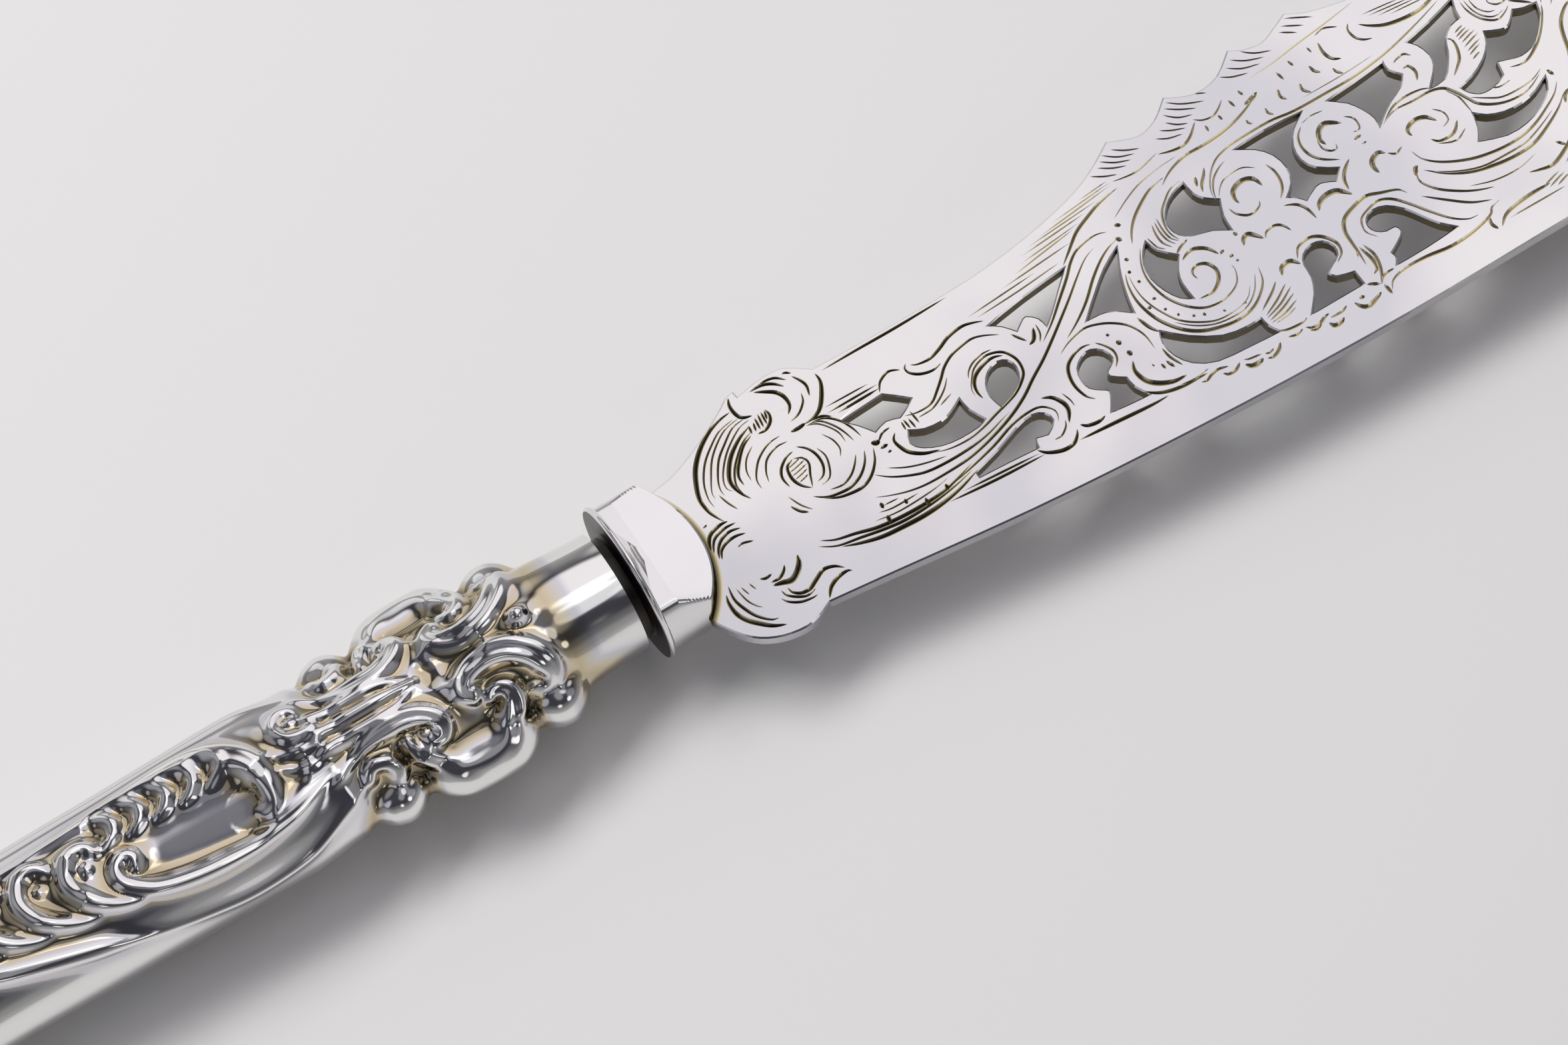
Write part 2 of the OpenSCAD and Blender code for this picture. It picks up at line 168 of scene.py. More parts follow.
# Relief: the share of a stroke over which each end widens, the power of its section, the height left where
# it is thinnest, its flute's width, the power by which strokes run into one another, the height under which
# they soften, the deepest hollow, and the rounds of fine and soft blurring
END_SHARE = 0.35
SECTION = 0.75
THIN_HEIGHT = 0.2
FLUTE_W = 0.3
UNION = 4
CREST = 0.9
DEEPEST = 0.8
FINE_BLUR = 4
SOFT_BLUR = 24

# Tarnish on the handle: rounds of blurring, gain and most for crevices, rounds of blurring, least depth and
# most for broad hollows, rounds of a last blurring, and the band at the ferrule's back and its reach
CREVICE_BLUR = 20
CREVICE_GAIN = 1.3
CREVICE_MOST = 0.6
HOLLOW_BLUR = 160
HOLLOW_FROM = 0.15
HOLLOW_MOST = 0.45
STAIN_BLUR = 6
BAND = 0.2
BAND_W = 3

# Silver: the colour of light haze, also taken by the painted reflection patches, and its place on the tarnish
# scale, shares of the tarnish colour along that scale, and the scales and details of its clouds, painted
# reflection patches, wear and slow waves
HAZE_AND_REFLECTION = (0.64, 0.64, 0.68)
HAZE_AND_REFLECTION_AT = 0.06
TARNISH_STOPS = ((0.2, 1.8), (0.45, 1.0), (0.75, 0.4), (1.0, 0.2))
CLOUDS = (90, 4)
SPECKLE = 0.35
REFLECTION_PATCHES = (22, 3)
REFLECTION_PATCH_EDGE = (0.42, 0.62)
GLOSS_SPREAD = 0.3
WEAR_STRETCH = (60, 1400, 1400)
WEAR = (1, 3)
WEAR_DEPTH = 0.00005
WAVES = (28, 1)

# Resin: its roughness, its mottling's scale and the share of its colour in the darker places
RESIN_ROUGHNESS = 0.8
MOTTLE_SCALE = 300
MOTTLE_DARK = 0.7

# Sky: bands by height and colour. Soft round panels by side, height, inner and outer radius in degrees, and
# colour.
SKY_BANDS = [
    (0.0, (0.4, 0.39, 0.39)), (0.2, (0.28, 0.28, 0.28)), (0.42, (0.13, 0.13, 0.14)),
    (0.6, (0.045, 0.045, 0.055)), (1.0, (0.055, 0.055, 0.07)),
]
SKY_PANELS = [
    (37, 50, 27, 34, (0.92, 0.88, 0.9)), (5, 74, 8, 12, (0.7, 0.7, 0.72)),
    (-40, 67, 11, 15, (0.75, 0.75, 0.76)), (0, 90, 5, 20, (0.13, 0.13, 0.14)),
    (97, 24, 10, 20, (0.6, 0.6, 0.6)), (138, 42, 10, 26, (0.28, 0.28, 0.29)),
    (-60, 33, 6, 9, (1.1, 1.1, 1.1)), (-105, 28, 5, 8, (0.8, 0.8, 0.8)),
    (-166, 38, 9, 17, (0.45, 0.45, 0.5)), (-92, 62, 8, 16, (0.22, 0.22, 0.23)),
    (-38, 38, 9, 18, (0.22, 0.22, 0.23)),
]

# Stage, in metres: half the floor's side, the floor's roughness, the softbox's sides, its side and height in
# degrees and its distance, and the camera's sensor and nearest depth
FLOOR_HALF = 3.0
FLOOR_ROUGHNESS = 0.9
SOFTBOX_SIDES = (0.7, 0.35)
SOFTBOX_FROM = (115, 60)
SOFTBOX_AWAY = 0.95
SENSOR_MM = 36
NEAR_CLIP = 0.01

# Engraved cuts. Each is its width and then its points x, y along the blade's drawing, in millimetres.
ROOT_CUTS = [
    (0.5, 10.5, 9.9, 8.8, 9.7, 7.2, 9.1, 5.5, 8, 4, 6.5, 3, 4.8, 2.4, 3.2, 2.4, 1.7, 2.7, 0.7, 3.2, -0.4),
    (0.2, 10.3, 9, 8.4, 8.7, 6.7, 7.7, 5.1, 6.4, 3.8, 4.6, 3.2, 2.8, 3.2, 1.5),
    (0.18, 10.9, 8.8, 9, 8.5, 7.4, 7.6, 5.9, 6.3, 4.7, 4.6, 3.9, 3.2, 3.8, 2.3),
    (0.22, 11.3, 8.4, 9.7, 8.2, 8, 7.1, 6.5, 5.9, 5.3, 4.2, 4.8, 3, 4.8, 2.1),
    (0.18, 11.7, 8, 10.3, 7.8, 8.4, 6.7, 7, 5.5, 5.8, 4, 5.4, 2.8, 5.8, 2),
    (0.45, 11.3, 7.4, 9.7, 6.8, 8, 5.7, 6.8, 4.4, 6.1, 3, 6.3, 1.5, 6.9, 0.2),
    (0.22, 11.3, 6.8, 9.7, 6.2, 8.2, 5, 7.1, 3.8, 6.4, 2.3, 6.6, 0.7),
    (0.35, 10.9, 6.4, 9.5, 5.8, 8.2, 4.6, 7.2, 3.2, 7.1, 1.9), (0.15, 10.3, 5.3, 9, 4.4, 8.2, 3.2, 8, 1.9),
    (0.2, 13.3, 4.6, 11.8, 4.5, 10.3, 3.8, 9.3, 2.9, 8.5, 1.7, 8.4, 0.5),
    (0.2, 13.6, 3.6, 12.2, 3.7, 10.7, 3.1, 9.8, 1.9, 9.4, 0.7),
    (0.28, 13.4, 2.3, 12.4, 2.1, 11.3, 1.3, 10.8, 0.3, 10.9, -1),
    (0.28, 13.9, 2.6, 14.8, 1.7, 15.2, 0.5, 15.1, -0.8, 14.5, -1.8, 13.6, -2.1),
    (0.18, 15.6, 1.3, 15.9, 0, 15.6, -1.2, 14.9, -2.4, 13.7, -2.7),
    (0.15, 16.9, 2.3, 17.5, 1.1, 17.6, -0.2, 17.1, -1.1),
    (0.22, 18.6, -1.7, 17.8, -2.7, 16.8, -3.5, 15.5, -3.9, 14.1, -3.6),
    (0.3, 19.6, -1.8, 18.8, -3.1, 17.6, -4.1, 16.1, -4.6, 14.7, -4.5, 13.4, -4.1, 12.2, -3.2),
    (0.32, 20.5, -2.1, 19.8, -3.5, 18.6, -4.7, 17.2, -5.3, 15.7, -5.2, 14.3, -4.8, 12.9, -3.9),
    (0.22, 12.9, 1.6, 13.8, 1.1, 14, 0.2, 13.4, -1, 12.8, -2.4),
    (0.32, 12.9, 1.6, 11.9, 1.1, 11.6, -0.3, 12, -1.5, 12.8, -2.4), (0.16, 11.8, 0.9, 13.7, 1.3),
    (0.16, 11.7, 0.4, 13.9, 0.8), (0.16, 11.7, -0.1, 13.8, 0.3), (0.16, 11.8, -0.6, 13.6, -0.2),
    (0.16, 12, -1.1, 13.3, -0.8), (0.4, 14.4, 4.3, 15.3, 4.2, 16.3, 4.3),
    (0.15, 16.1, 4, 17.2, 3.5, 18, 2.5, 18.5, 1.3, 18.5, 0),
    (0.18, 16.3, 4, 17.6, 3.6, 18.5, 2.4, 19, 1.1, 19.3, -0.4),
    (0.22, 16.8, 4, 18.2, 3.6, 19.3, 2.5, 19.9, 1.1, 20.2, -0.4),
    (0.45, 16.1, 4.2, 17.6, 4.4, 18.6, 5, 19.6, 6.3, 20.2, 7.5, 20.2, 8.6), (0.25, 16.8, 4.2, 18, 4, 19, 3.3),
    (0.22, 15.1, 5.3, 16.3, 5.6, 17.4, 6.5, 17.8, 7.5), (0.28, 18.3, 6.6, 18.7, 7.8, 18.5, 8.8, 18, 9.7),
    (0.42, 15.3, 6.1, 16, 6.9, 16.1, 8, 15.7, 9, 14.7, 9.8, 13.7, 10.4),
    (0.32, 16.8, 9.1, 16, 10, 14.9, 10.6, 13.3, 10.7), (0.25, 17.4, 9.6, 16.5, 10.5, 15.5, 10.8, 14.3, 10.8),
    (0.22, 18.2, 10, 17.7, 10.4, 17.3, 10.5), (0.38, 11.2, 11.4, 10.8, 10.5, 10.8, 9.4, 11.2, 8.6, 12.2, 8.2),
    (0.32, 11.4, 6.1, 12.4, 6, 13.3, 6.5, 13.7, 7.3, 13.6, 8.1), (0.22, 11, 6.4, 11.2, 7.5),
    (0.22, 11.5, 6.4, 11.8, 7.5), (0.22, 12, 6.3, 12.2, 7.9), (0.22, 12.4, 6.3, 12.7, 8.1),
    (0.22, 12.9, 6.4, 13.1, 8.1), (0.22, 13.2, 6.9, 13.5, 8), (0.15, 18.8, 4.6, 24.2, 4.3),
    (0.22, 18.6, 3.9, 24.9, 3.7), (0.28, 19.5, 3.3, 24.9, 3.2), (0.28, 20.8, 8.4, 25, 8.3, 30, 8.1, 36.5, 8),
    (0.55, 20.6, -1.5, 21, -1.9, 21.5, -1.8), (0.22, 21.1, -2, 21.6, -1.7, 22.2, -1.3, 23.2, -1.2),
    (0.35, 21, -2.7, 22, -2.7), (0.25, 21.4, -3.5, 21.9, -3.5),
    (0.4, 23.3, -2, 22.7, -2.7, 22.8, -3.7, 23.3, -4.8, 24.5, -5.8, 26.1, -6.4),
    (0.15, 20.3, -4.9, 22, -6, 24, -6.8, 26.3, -7.4),
    (0.28, 18.8, -4.8, 20.1, -6, 21.8, -7, 23.6, -7.7, 26.1, -8, 29, -8, 31.3, -7.7, 33.2, -7.2, 34.4, -6.9),
    (0.4, 10, -7.8, 11.5, -8.7, 13.6, -9.3, 15.7, -10, 18, -10.4, 20.5, -10.6, 23, -10.6, 25, -10.3,
     28, -9.5),
    (0.32, 9.5, -8.3, 11.3, -9.4, 13.8, -10, 16.3, -10.6, 18.8, -11, 22, -11, 25, -10.7, 27.6, -10.2),
    (0.5, 11.5, -9.7, 13.4, -10.5, 15.7, -11.2, 18, -11.5, 20.5, -11.7, 23, -11.6, 25.5, -11.2, 28, -10.5),
    (0.15, 16.8, -8.7, 18.4, -9.1, 21.5, -9.2), (0.15, 15.9, -9.3, 18.8, -9.8, 22.6, -9.8, 25, -9.5),
    (0.12, 17.6, -8.3, 19.5, -8.5), (0.4, 17.5, -8.6, 17.6, -7.8), (0.35, 19.8, -9.6, 19.9, -8.9),
    (0.45, 17.2, -10.4, 17.4, -9.4), (0.4, 21.6, -11.2, 21.7, -10), (0.35, 24.2, -10.7, 24.3, -9.9),
    (0.22, 25.2, -11.7, 34.4, -12.7), (0.28, 23.4, -11.9, 29, -12.6, 34.8, -13.1),
    (0.15, 10.1, -1.7, 10.7, -3.3, 11.5, -4.5), (0.28, 9.7, -2.8, 10.3, -3.9, 11, -4.5),
    (0.4, 3.5, -0.5, 2.6, -0.4, 1.3, -0.7, 0.6, -1.4, 0.2, -2.4),
    (0.3, 4.1, -1.1, 2.8, -1, 1.5, -1.3, 0.8, -1.9, 0.3, -2.8),
    (0.32, 4.2, -1.9, 3, -1.6, 1.8, -1.9, 0.9, -2.7, 0.4, -3.7),
    (0.32, 4.3, -2.7, 3.2, -2.4, 2, -2.5, 1.1, -3, 0.6, -3.9), (0.22, 2.7, -3.6, 3.4, -3.5, 4.5, -3.9),
    (0.18, 0.9, 0.3, 1.5, 0.4),
    (0.5, -1.2, -7.4, -1.5, -8.4, -1.5, -9.8, -1, -11, -0.2, -12, 0.9, -13.1, 2.2, -13.8),
    (0.32, -0.5, -6.6, -0.8, -8.3, -0.5, -9.8, 0.1, -11.2, 1.1, -12.4, 1.9, -12.7),
    (0.15, 0, -7.3, 0.2, -9.1, 0.7, -10.2, 1.2, -10.8), (0.14, 0.5, -7.5, 0.8, -8.8),
    (0.12, 1.4, -7.6, 1.7, -8.7), (0.28, 2.6, -7.9, 3.2, -8.2, 4, -8.1),
    (0.32, 5.6, -8, 5.1, -8.6, 4.3, -9, 3.3, -8.9),
    (0.65, 3.3, -9.3, 4.3, -9.6, 5.3, -9.9, 6.3, -9.4, 7, -8.6, 7.3, -7.8),
    (0.42, 4.4, -10.3, 4.6, -11.1, 5.3, -11.7, 6.3, -11.8, 7.4, -11.3, 8.6, -10.8, 9.7, -11.1, 10.6, -11.9),
    (0.25, 3.7, -10.2, 3.9, -11, 4.7, -11.8, 5.7, -12.3, 6.8, -12.1),
    (0.25, 3.2, -11, 3.7, -11.8, 4.7, -12.5, 5.9, -12.8, 6.6, -12.8),
    (0.42, 7.3, -13.9, 8.2, -12.9, 9.3, -12.4, 10.5, -12.3, 11, -12.6), (0.18, 4.3, 2.6, 4.6, 1.3, 5.1, 0),
]
STEM_CUTS = [
    (0.25, 24.5, 2.7, 25.2, 3.7, 26.2, 4.2, 26.9, 4.2, 27.8, 3.7),
    (0.28, 28.6, 4, 28.2, 3.5, 28.4, 2.8, 29.2, 2.1, 30.5, 1.7, 31.7, 1.9),
    (0.35, 28.9, 3.6, 29.6, 3.2, 31, 3, 32.5, 3.4, 34, 4, 35.8, 4.2, 37, 3.9, 38.1, 3.4),
    (0.28, 25.1, -1, 26.3, -1.4, 27.4, -1.5, 28.5, -1.3, 29.6, -0.5, 30.7, 0.4, 31.7, 1.3, 33, 2, 34.4, 2.3,
     35.9, 2.4, 37.1, 2, 38.6, 1.1),
    (0.18, 26, -2, 27.8, -2, 29, -1.6, 30.3, -0.8, 31.3, 0.2), (0.14, 28.8, -2.2, 30.7, -1.6),
    (0.18, 24.5, -1.3, 24.4, -2.5), (0.2, 24.8, -1.2, 24.9, -2.6), (0.2, 25.3, -1.4, 25.4, -2.9),
    (0.2, 25.9, -0.8, 26, -2.6), (0.18, 33, -1.3, 33.5, -0.6, 34.4, 0, 35.7, 0.3, 36.9, 0.2),
    (0.28, 32.5, -3.4, 32.6, -2.5, 33.2, -1.6, 34.2, -0.6, 35.7, -0.1, 36.9, -0.3, 37.8, -0.9, 38.3, -1.9,
     38.4, -2.9, 38.1, -4, 37.3, -4.8, 36.1, -5.5, 34.8, -5.9, 33.2, -6.3, 31.3, -6.8, 29.2, -7.1, 27.1, -6.9,
     25.3, -6.3),
    (0.38, 33, -4.1, 32.9, -3.1, 33.2, -2.1, 34, -1.3, 35.3, -0.8, 36.5, -0.7, 37.5, -1.1),
    (0.32, 17.4, -7, 19, -7.8, 20.9, -8.5, 23, -8.9, 26, -9, 28.2, -8.9, 30.9, -8.4, 34, -7.5, 36.5, -6.4,
     38.6, -5.1, 40.7, -3.9, 42.8, -2.5, 44.8, -1.1, 46.9, 0.4, 49, 2, 50.9, 3.3, 52.6, 3.9),
    (0.28, 41.7, -2.3, 43.8, -0.9, 45.9, 0.8, 48, 2.5, 49.4, 3.8, 50.9, 4.7, 53.2, 5, 54.6, 4.6),
    (0.28, 44, -3.4, 46.1, -2.3, 48.2, -0.9, 50.3, 0.9, 52.3, 2.3, 53.8, 3, 55, 3.3),
    (0.35, 48.5, 3.9, 50, 5, 51.9, 6.4, 53.8, 7.2, 55.9, 7.9, 58.5, 8.3), (0.4, 55.6, 4.8, 56.3, 4.4),
    (0.45, 54.9, 3.5, 55.3, 2.8), (0.14, 36.6, 4.7, 45.7, 5), (0.14, 37.5, 4.1, 43, 4.2, 48.5, 4.5),
    (0.14, 41.5, 5.4, 50.9, 5.8), (0.14, 43.8, 6, 47, 6.4, 51.9, 6.9), (0.12, 44.8, 6.7, 52.8, 7.2),
    (0.14, 45.5, 7.4, 54, 7.8), (0.12, 46.5, 7.9, 56, 8.3), (0.16, 48, 8.2, 58.3, 9),
    (0.12, 50, 8.8, 58.4, 9.3), (0.12, 54, 9.4, 58, 9.6), (0.25, 39.5, 0.5, 40.5, -1.2),
    (0.4, 40.4, -1.7, 41.2, -1.4, 41.9, -0.2), (0.16, 42.3, 0, 42.1, -1.2, 41.5, -2.1),
    (0.28, 24, -10.5, 27.1, -10, 30.9, -9.2, 33.8, -8.3, 35.9, -8.1, 37.3, -8.3, 38.2, -9.2, 38.3, -10,
     37.9, -10.8),
    (0.45, 37.9, -7.5, 38.9, -8.1, 39.5, -9.2, 39.5, -10.3, 38.7, -11.6),
    (0.12, 40, -8.2, 40.3, -9.4, 40.3, -10.3), (0.18, 36.3, -12.3, 37.3, -12.3, 38.2, -11.7, 38.6, -11),
    (0.42, 34.2, -12.2, 35, -13.1, 36.5, -13.8, 37.8, -13.8, 38.6, -13.2, 39, -12.6),
    (0.38, 39.5, -12.3, 40.1, -12.9, 41.3, -13.2, 42.3, -13),
    (0.38, 38.4, -13.8, 42.8, -14.3, 46.9, -14.8, 49, -14.9),
    (0.35, 42.6, -10.9, 41.9, -10, 41.6, -8.5, 41.8, -7.1, 42.4, -6, 43.6, -5.3, 44.8, -5.1, 45.7, -5.3),
    (0.22, 46.1, -5.4, 46.8, -6.3, 47.2, -7.3, 47, -8.3, 46.3, -9.1),
    (0.22, 42.4, -4.5, 44, -3.8, 46.1, -3.4, 47.8, -3.9, 49.2, -4.8, 50.3, -6, 50.9, -7.7, 50.9, -9.7),
    (0.3, 47.6, -5.3, 47.9, -5.6), (0.5, 48.1, -6.5, 48.3, -7.2), (0.5, 48.4, -8.1, 48.5, -8.9),
    (0.55, 48.2, -9.4, 47.7, -10.6, 48, -12.1, 49, -13.2, 50.5, -13.9, 51.9, -14),
    (0.14, 49.6, -10.9, 49.7, -11.3), (0.25, 50.4, -11.4, 50.5, -12.2), (0.3, 51, -11.4, 51.4, -12.6),
    (0.25, 51.5, -9.9, 51.6, -11.2, 52.2, -12.9),
    (0.38, 46.9, -12.9, 48.2, -14, 49.6, -14.6, 51.1, -14.9, 53.8, -15.1),
    (0.18, 50.5, -14.6, 52.3, -14.9, 54.2, -14.7), (0.35, 51.4, -5.5, 51.8, -7.1, 52.4, -8.3),
]
SCROLL_CUTS = [
    (0.38, 53.4, -0.5, 52.8, -1.9, 52.5, -3.8, 52.7, -5.7, 53.3, -7.5, 54.5, -9.4, 56, -10.7, 57.9, -11.5,
     59.8, -11.9, 61.7, -11.7, 63.3, -10.9, 64.6, -9.6, 65.2, -7.9),
    (0.18, 53.5, -0.9, 53.2, -2.8, 53.3, -4.6, 53.9, -6.5, 54.9, -8.4, 56.5, -9.8, 58.3, -10.7, 60.4, -10.8,
     62.1, -10.4, 63.3, -9.2),
    (0.16, 54.2, -8.2, 55.8, -9.8, 57.7, -10.9, 59.8, -11.3, 61.7, -11.1, 63.3, -10, 64.5, -8.3),
    (0.25, 56.4, 1.1, 55.4, -0.5, 54.9, -2.1, 54.9, -3.8, 55.3, -5.5, 56.3, -7.3, 57.7, -8.6, 59.4, -9.1,
     61, -8.9, 62.3, -8.2, 63, -6.9, 63, -6.1),
    (0.35, 54.2, 0.9, 54.6, 0.5), (0.32, 53.6, -0.6, 54, -0.8), (0.28, 53.8, -2.1, 54.2, -2.3),
    (0.28, 53.9, -4.7, 54.4, -4.8), (0.35, 52.9, -5.3, 53.4, -5.4), (0.28, 54.2, -6.4, 54.6, -6.5),
    (0.3, 55, -7.7, 55.3, -7.8), (0.28, 56.2, -8.8, 56.6, -8.8), (0.35, 57.2, -9.3, 57.6, -9.3),
    (0.28, 59.2, -10.2, 59.5, -10.1), (0.28, 61.5, -10.7, 61.8, -10.6),
    (0.38, 59.2, -5.5, 59.1, -4.7, 59.6, -4.2, 60.4, -4.2, 61.1, -4.7, 61.4, -5.7, 61.1, -6.6, 60.4, -7.3,
     59.4, -7.7, 57.8, -7.5),
    (0.4, 59.1, -2.8, 60, -2.4, 61, -2.4, 62.1, -3.2, 62.7, -4.4), (0.28, 59, -1.9, 59.8, -1.4, 61, -1),
    (0.3, 62.8, -4.5, 63.4, -4.2), (0.35, 63.4, -5.4, 63.9, -5.2), (0.25, 63.7, -6.2, 64, -6),
    (0.15, 57.6, 1.6, 57.7, 0.8, 57.9, 0, 58.5, -0.7), (0.2, 58.9, 2.6, 58.6, 1.4, 58.6, 0.2, 59.2, -0.9),
    (0.18, 59.3, 2.7, 59.1, 1.4, 59.2, 0.2, 59.7, -0.8), (0.18, 59.7, 3, 59.5, 1.4, 59.6, 0.2, 60.2, -0.7),
    (0.22, 64.4, 5.2, 62.9, 4.9, 61.7, 4.1, 60.6, 3.1, 60, 1.8, 59.9, 0.6, 60.3, -0.6),
    (0.3, 55.9, 1.8, 56.7, 3.1, 57.9, 4.3, 59.6, 5.4, 61.3, 6.2, 63.2, 6.5),
    (0.15, 56, 5.4, 58.3, 6.5, 60.5, 7.3, 63, 7.7, 65.7, 7.8),
    (0.35, 62.4, 5.7, 63.7, 6.5, 65, 7, 66.6, 7.3, 68.7, 7.2, 71, 7.3, 73, 7.6, 75, 8.2, 77, 9.1),
    (0.5, 75.1, 8.7, 76, 8.8, 77.1, 9.2), (0.3, 65.4, 3.5, 65.6, 4, 65.9, 4.6),
    (0.3, 65.5, 2.6, 65.9, 3.4, 66.7, 4.2, 67.3, 5),
    (0.3, 66, 1.1, 66.3, 2.3, 66.9, 3.3, 67.7, 4.2, 68.8, 5, 70, 5.4, 71.7, 5.6, 76, 5.5, 79, 5, 83, 4.8,
     86, 4.7, 89, 4.9, 92, 5.3, 96, 6.2, 99.5, 7.2),
    (0.18, 66.1, 1, 66.6, 2.3, 67.4, 3.3, 68.5, 4, 69.6, 4.4),
    (0.14, 66.5, 1.1, 67.3, 2, 68.3, 2.6, 70, 2.7, 70.8, 2.5, 71.7, 1.8),
    (0.55, 67.9, -0.7, 67.8, 0, 68.1, 0.8, 69, 1.3, 70, 1.3, 70.8, 0.8, 71.1, -0.4),
    (0.25, 66.6, -0.5, 66.9, -1.5, 67.7, -2.3, 68.5, -2.5, 69.4, -2.2, 69.8, -1.6),
    (0.28, 72.8, 1.6, 73.1, 0.4, 73, -0.9, 72.5, -2, 71.7, -2.8), (0.35, 65.4, -3.1, 65.5, -3.7),
    (0.5, 65.4, -5.1, 65.8, -4.4, 66.5, -4.2, 67.1, -4.8, 67.6, -5.6),
    (0.28, 67.7, -5.7, 68.3, -5.1, 69.4, -5, 70.1, -5.5, 70.5, -6.5),
    (0.3, 71.5, -3.6, 72.7, -4.3, 73.3, -5.3, 73.5, -6.9),
    (0.6, 74.2, -6.3, 74.7, -5.6, 75.6, -5.2, 76.9, -5.3, 77.7, -6, 78.2, -6.7),
    (0.35, 78.2, -6.1, 78.5, -4.8, 79.2, -3.9, 80.4, -3),
    (0.28, 78.5, 3.1, 77.5, 2.2, 77.1, 1, 77.3, -0.3, 78.1, -1.5, 79.6, -2.6),
    (0.12, 78.7, 3.3, 80, 3.5, 81.5, 3.3), (0.55, 79.4, -0.3, 79.2, 0.7, 79.8, 1.6, 80.8, 1.9, 82.3, 0.9),
    (0.2, 78.9, 0.8, 78.8, -0.3, 79.3, -1.1, 80, -1.3, 80.3, -0.7),
    (0.18, 82.4, -0.7, 83.4, -0.7, 83.6, 0.6, 82.8, 1.5), (0.32, 82.1, -1.5, 83.1, -1.4),
    (0.18, 82.5, -2.4, 83.1, -2.4), (0.25, 62.5, -12.5, 64.6, -11.3, 65.7, -10.4),
    (0.22, 62.5, -13.2, 64.6, -12.3, 66.4, -11.2), (0.22, 62.4, -13.5, 64.6, -12.9, 66.7, -11.8),
    (0.22, 62.5, -13.9, 64.6, -13.4, 66.5, -12.6), (0.22, 62.5, -14.2, 64.6, -14, 66.3, -13.4),
    (0.16, 62.9, -14.5, 64.6, -14.4, 65.7, -14.1), (0.28, 62.5, -15.3, 63.5, -15.8, 65, -16, 65.9, -15.8),
    (0.5, 66.6, -10.3, 67.1, -9.5, 67.9, -9.3, 68.5, -9.5, 69, -10.3),
    (0.35, 69, -9.7, 69.8, -8.6, 70.8, -8.3, 71.9, -8.4, 72.9, -9.2, 73.5, -10.5, 73.2, -11.7, 72.2, -12.4),
    (0.4, 74.5, -14.4, 74.7, -12.8, 74.8, -11.3, 75, -9.8, 75.8, -8.6, 77.3, -8, 79.2, -7.7, 80.8, -8.3,
     82.4, -9, 83, -9.9),
    (0.35, 75.6, -12.1, 75.9, -13.8, 75.5, -15.5, 74.6, -17.1),
    (0.35, 75.1, -12.1, 75.4, -14, 75.2, -15.3, 74.5, -15.7), (0.14, 74.9, -11.9, 74.3, -13.2),
    (0.28, 77.5, -12.4, 76.8, -11.3, 76.8, -10.5, 77.3, -9.6, 78.5, -9.1, 80, -8.9, 81.3, -9.6, 82.5, -11.2,
     83.6, -13, 85, -15, 86.4, -16.1, 87.6, -16.3),
    (0.35, 73.2, -16.2, 74.5, -17), (0.35, 74.7, -17.2, 74.8, -18.7),
    (0.28, 74.5, -17.1, 75.2, -16.4, 76.7, -16.3),
    (0.4, 75, -18.3, 75.8, -17.4, 77.5, -17, 80.3, -17.2, 83.1, -17.7, 85.9, -17.6, 88.4, -17.1, 89.2, -16.4,
     90.4, -16.1),
]
BORDER_CUTS = [
    (0.3, 52.6, -15.6, 53.2, -15.8, 54, -15.5, 55, -15.4, 56, -15.7),
    (0.35, 55, -16, 55.5, -16.5, 56.4, -16.5, 57.2, -16), (0.22, 57.7, -16, 58.3, -16.3, 59.6, -16.5),
    (0.55, 57.5, -16.5, 58, -17.1, 58.8, -17.2, 59.5, -17), (0.22, 59.9, -16.7, 60.4, -16.9, 61, -16.7),
    (0.35, 59.8, -17.3, 60.4, -17.5, 61.3, -17.2, 62, -16.5), (0.28, 63, -16.5, 63.8, -16.8, 64.8, -16.6),
    (0.35, 65.1, -16.6, 65.7, -17.1, 66.7, -17.1, 67.4, -16.8, 68.1, -16.7),
    (0.28, 65.3, -17.2, 66, -17.5, 67, -17), (0.5, 67.4, -17.6, 67.7, -18.2, 68.3, -18.3, 69.1, -18),
    (0.28, 67.9, -17.2, 68.5, -17.3, 69.4, -17.3, 70.1, -17),
    (0.5, 70.9, -17.2, 71.3, -18, 71.9, -18.4, 72.9, -18.2, 74, -17.8), (0.35, 71.6, -17.1, 72.3, -17.2),
    (0.35, 88.3, -18.9, 88, -18, 88.3, -17.2),
    (0.45, 88.7, -18.9, 89.8, -18, 91.4, -17.6, 93.7, -17.5, 95.9, -17.6),
    (0.18, 89.8, -18.5, 94.2, -18.7, 97, -18.8), (0.18, 95, -17.6, 97.6, -16.9), (0.18, 95.5, -18, 98, -17.3),
    (0.18, 96.3, -18.3, 98.4, -17.7), (0.4, 94.8, -15.3, 95.9, -15.7, 97.5, -16, 99.8, -15.1, 101.6, -13.9),
    (0.3, 99.2, -13.9, 100, -14.9), (0.38, 102.9, -10.8, 103.3, -10.1, 104.2, -9.5),
    (0.3, 98.6, -16.6, 101, -15.4, 103.2, -13.6, 105, -11.2),
]
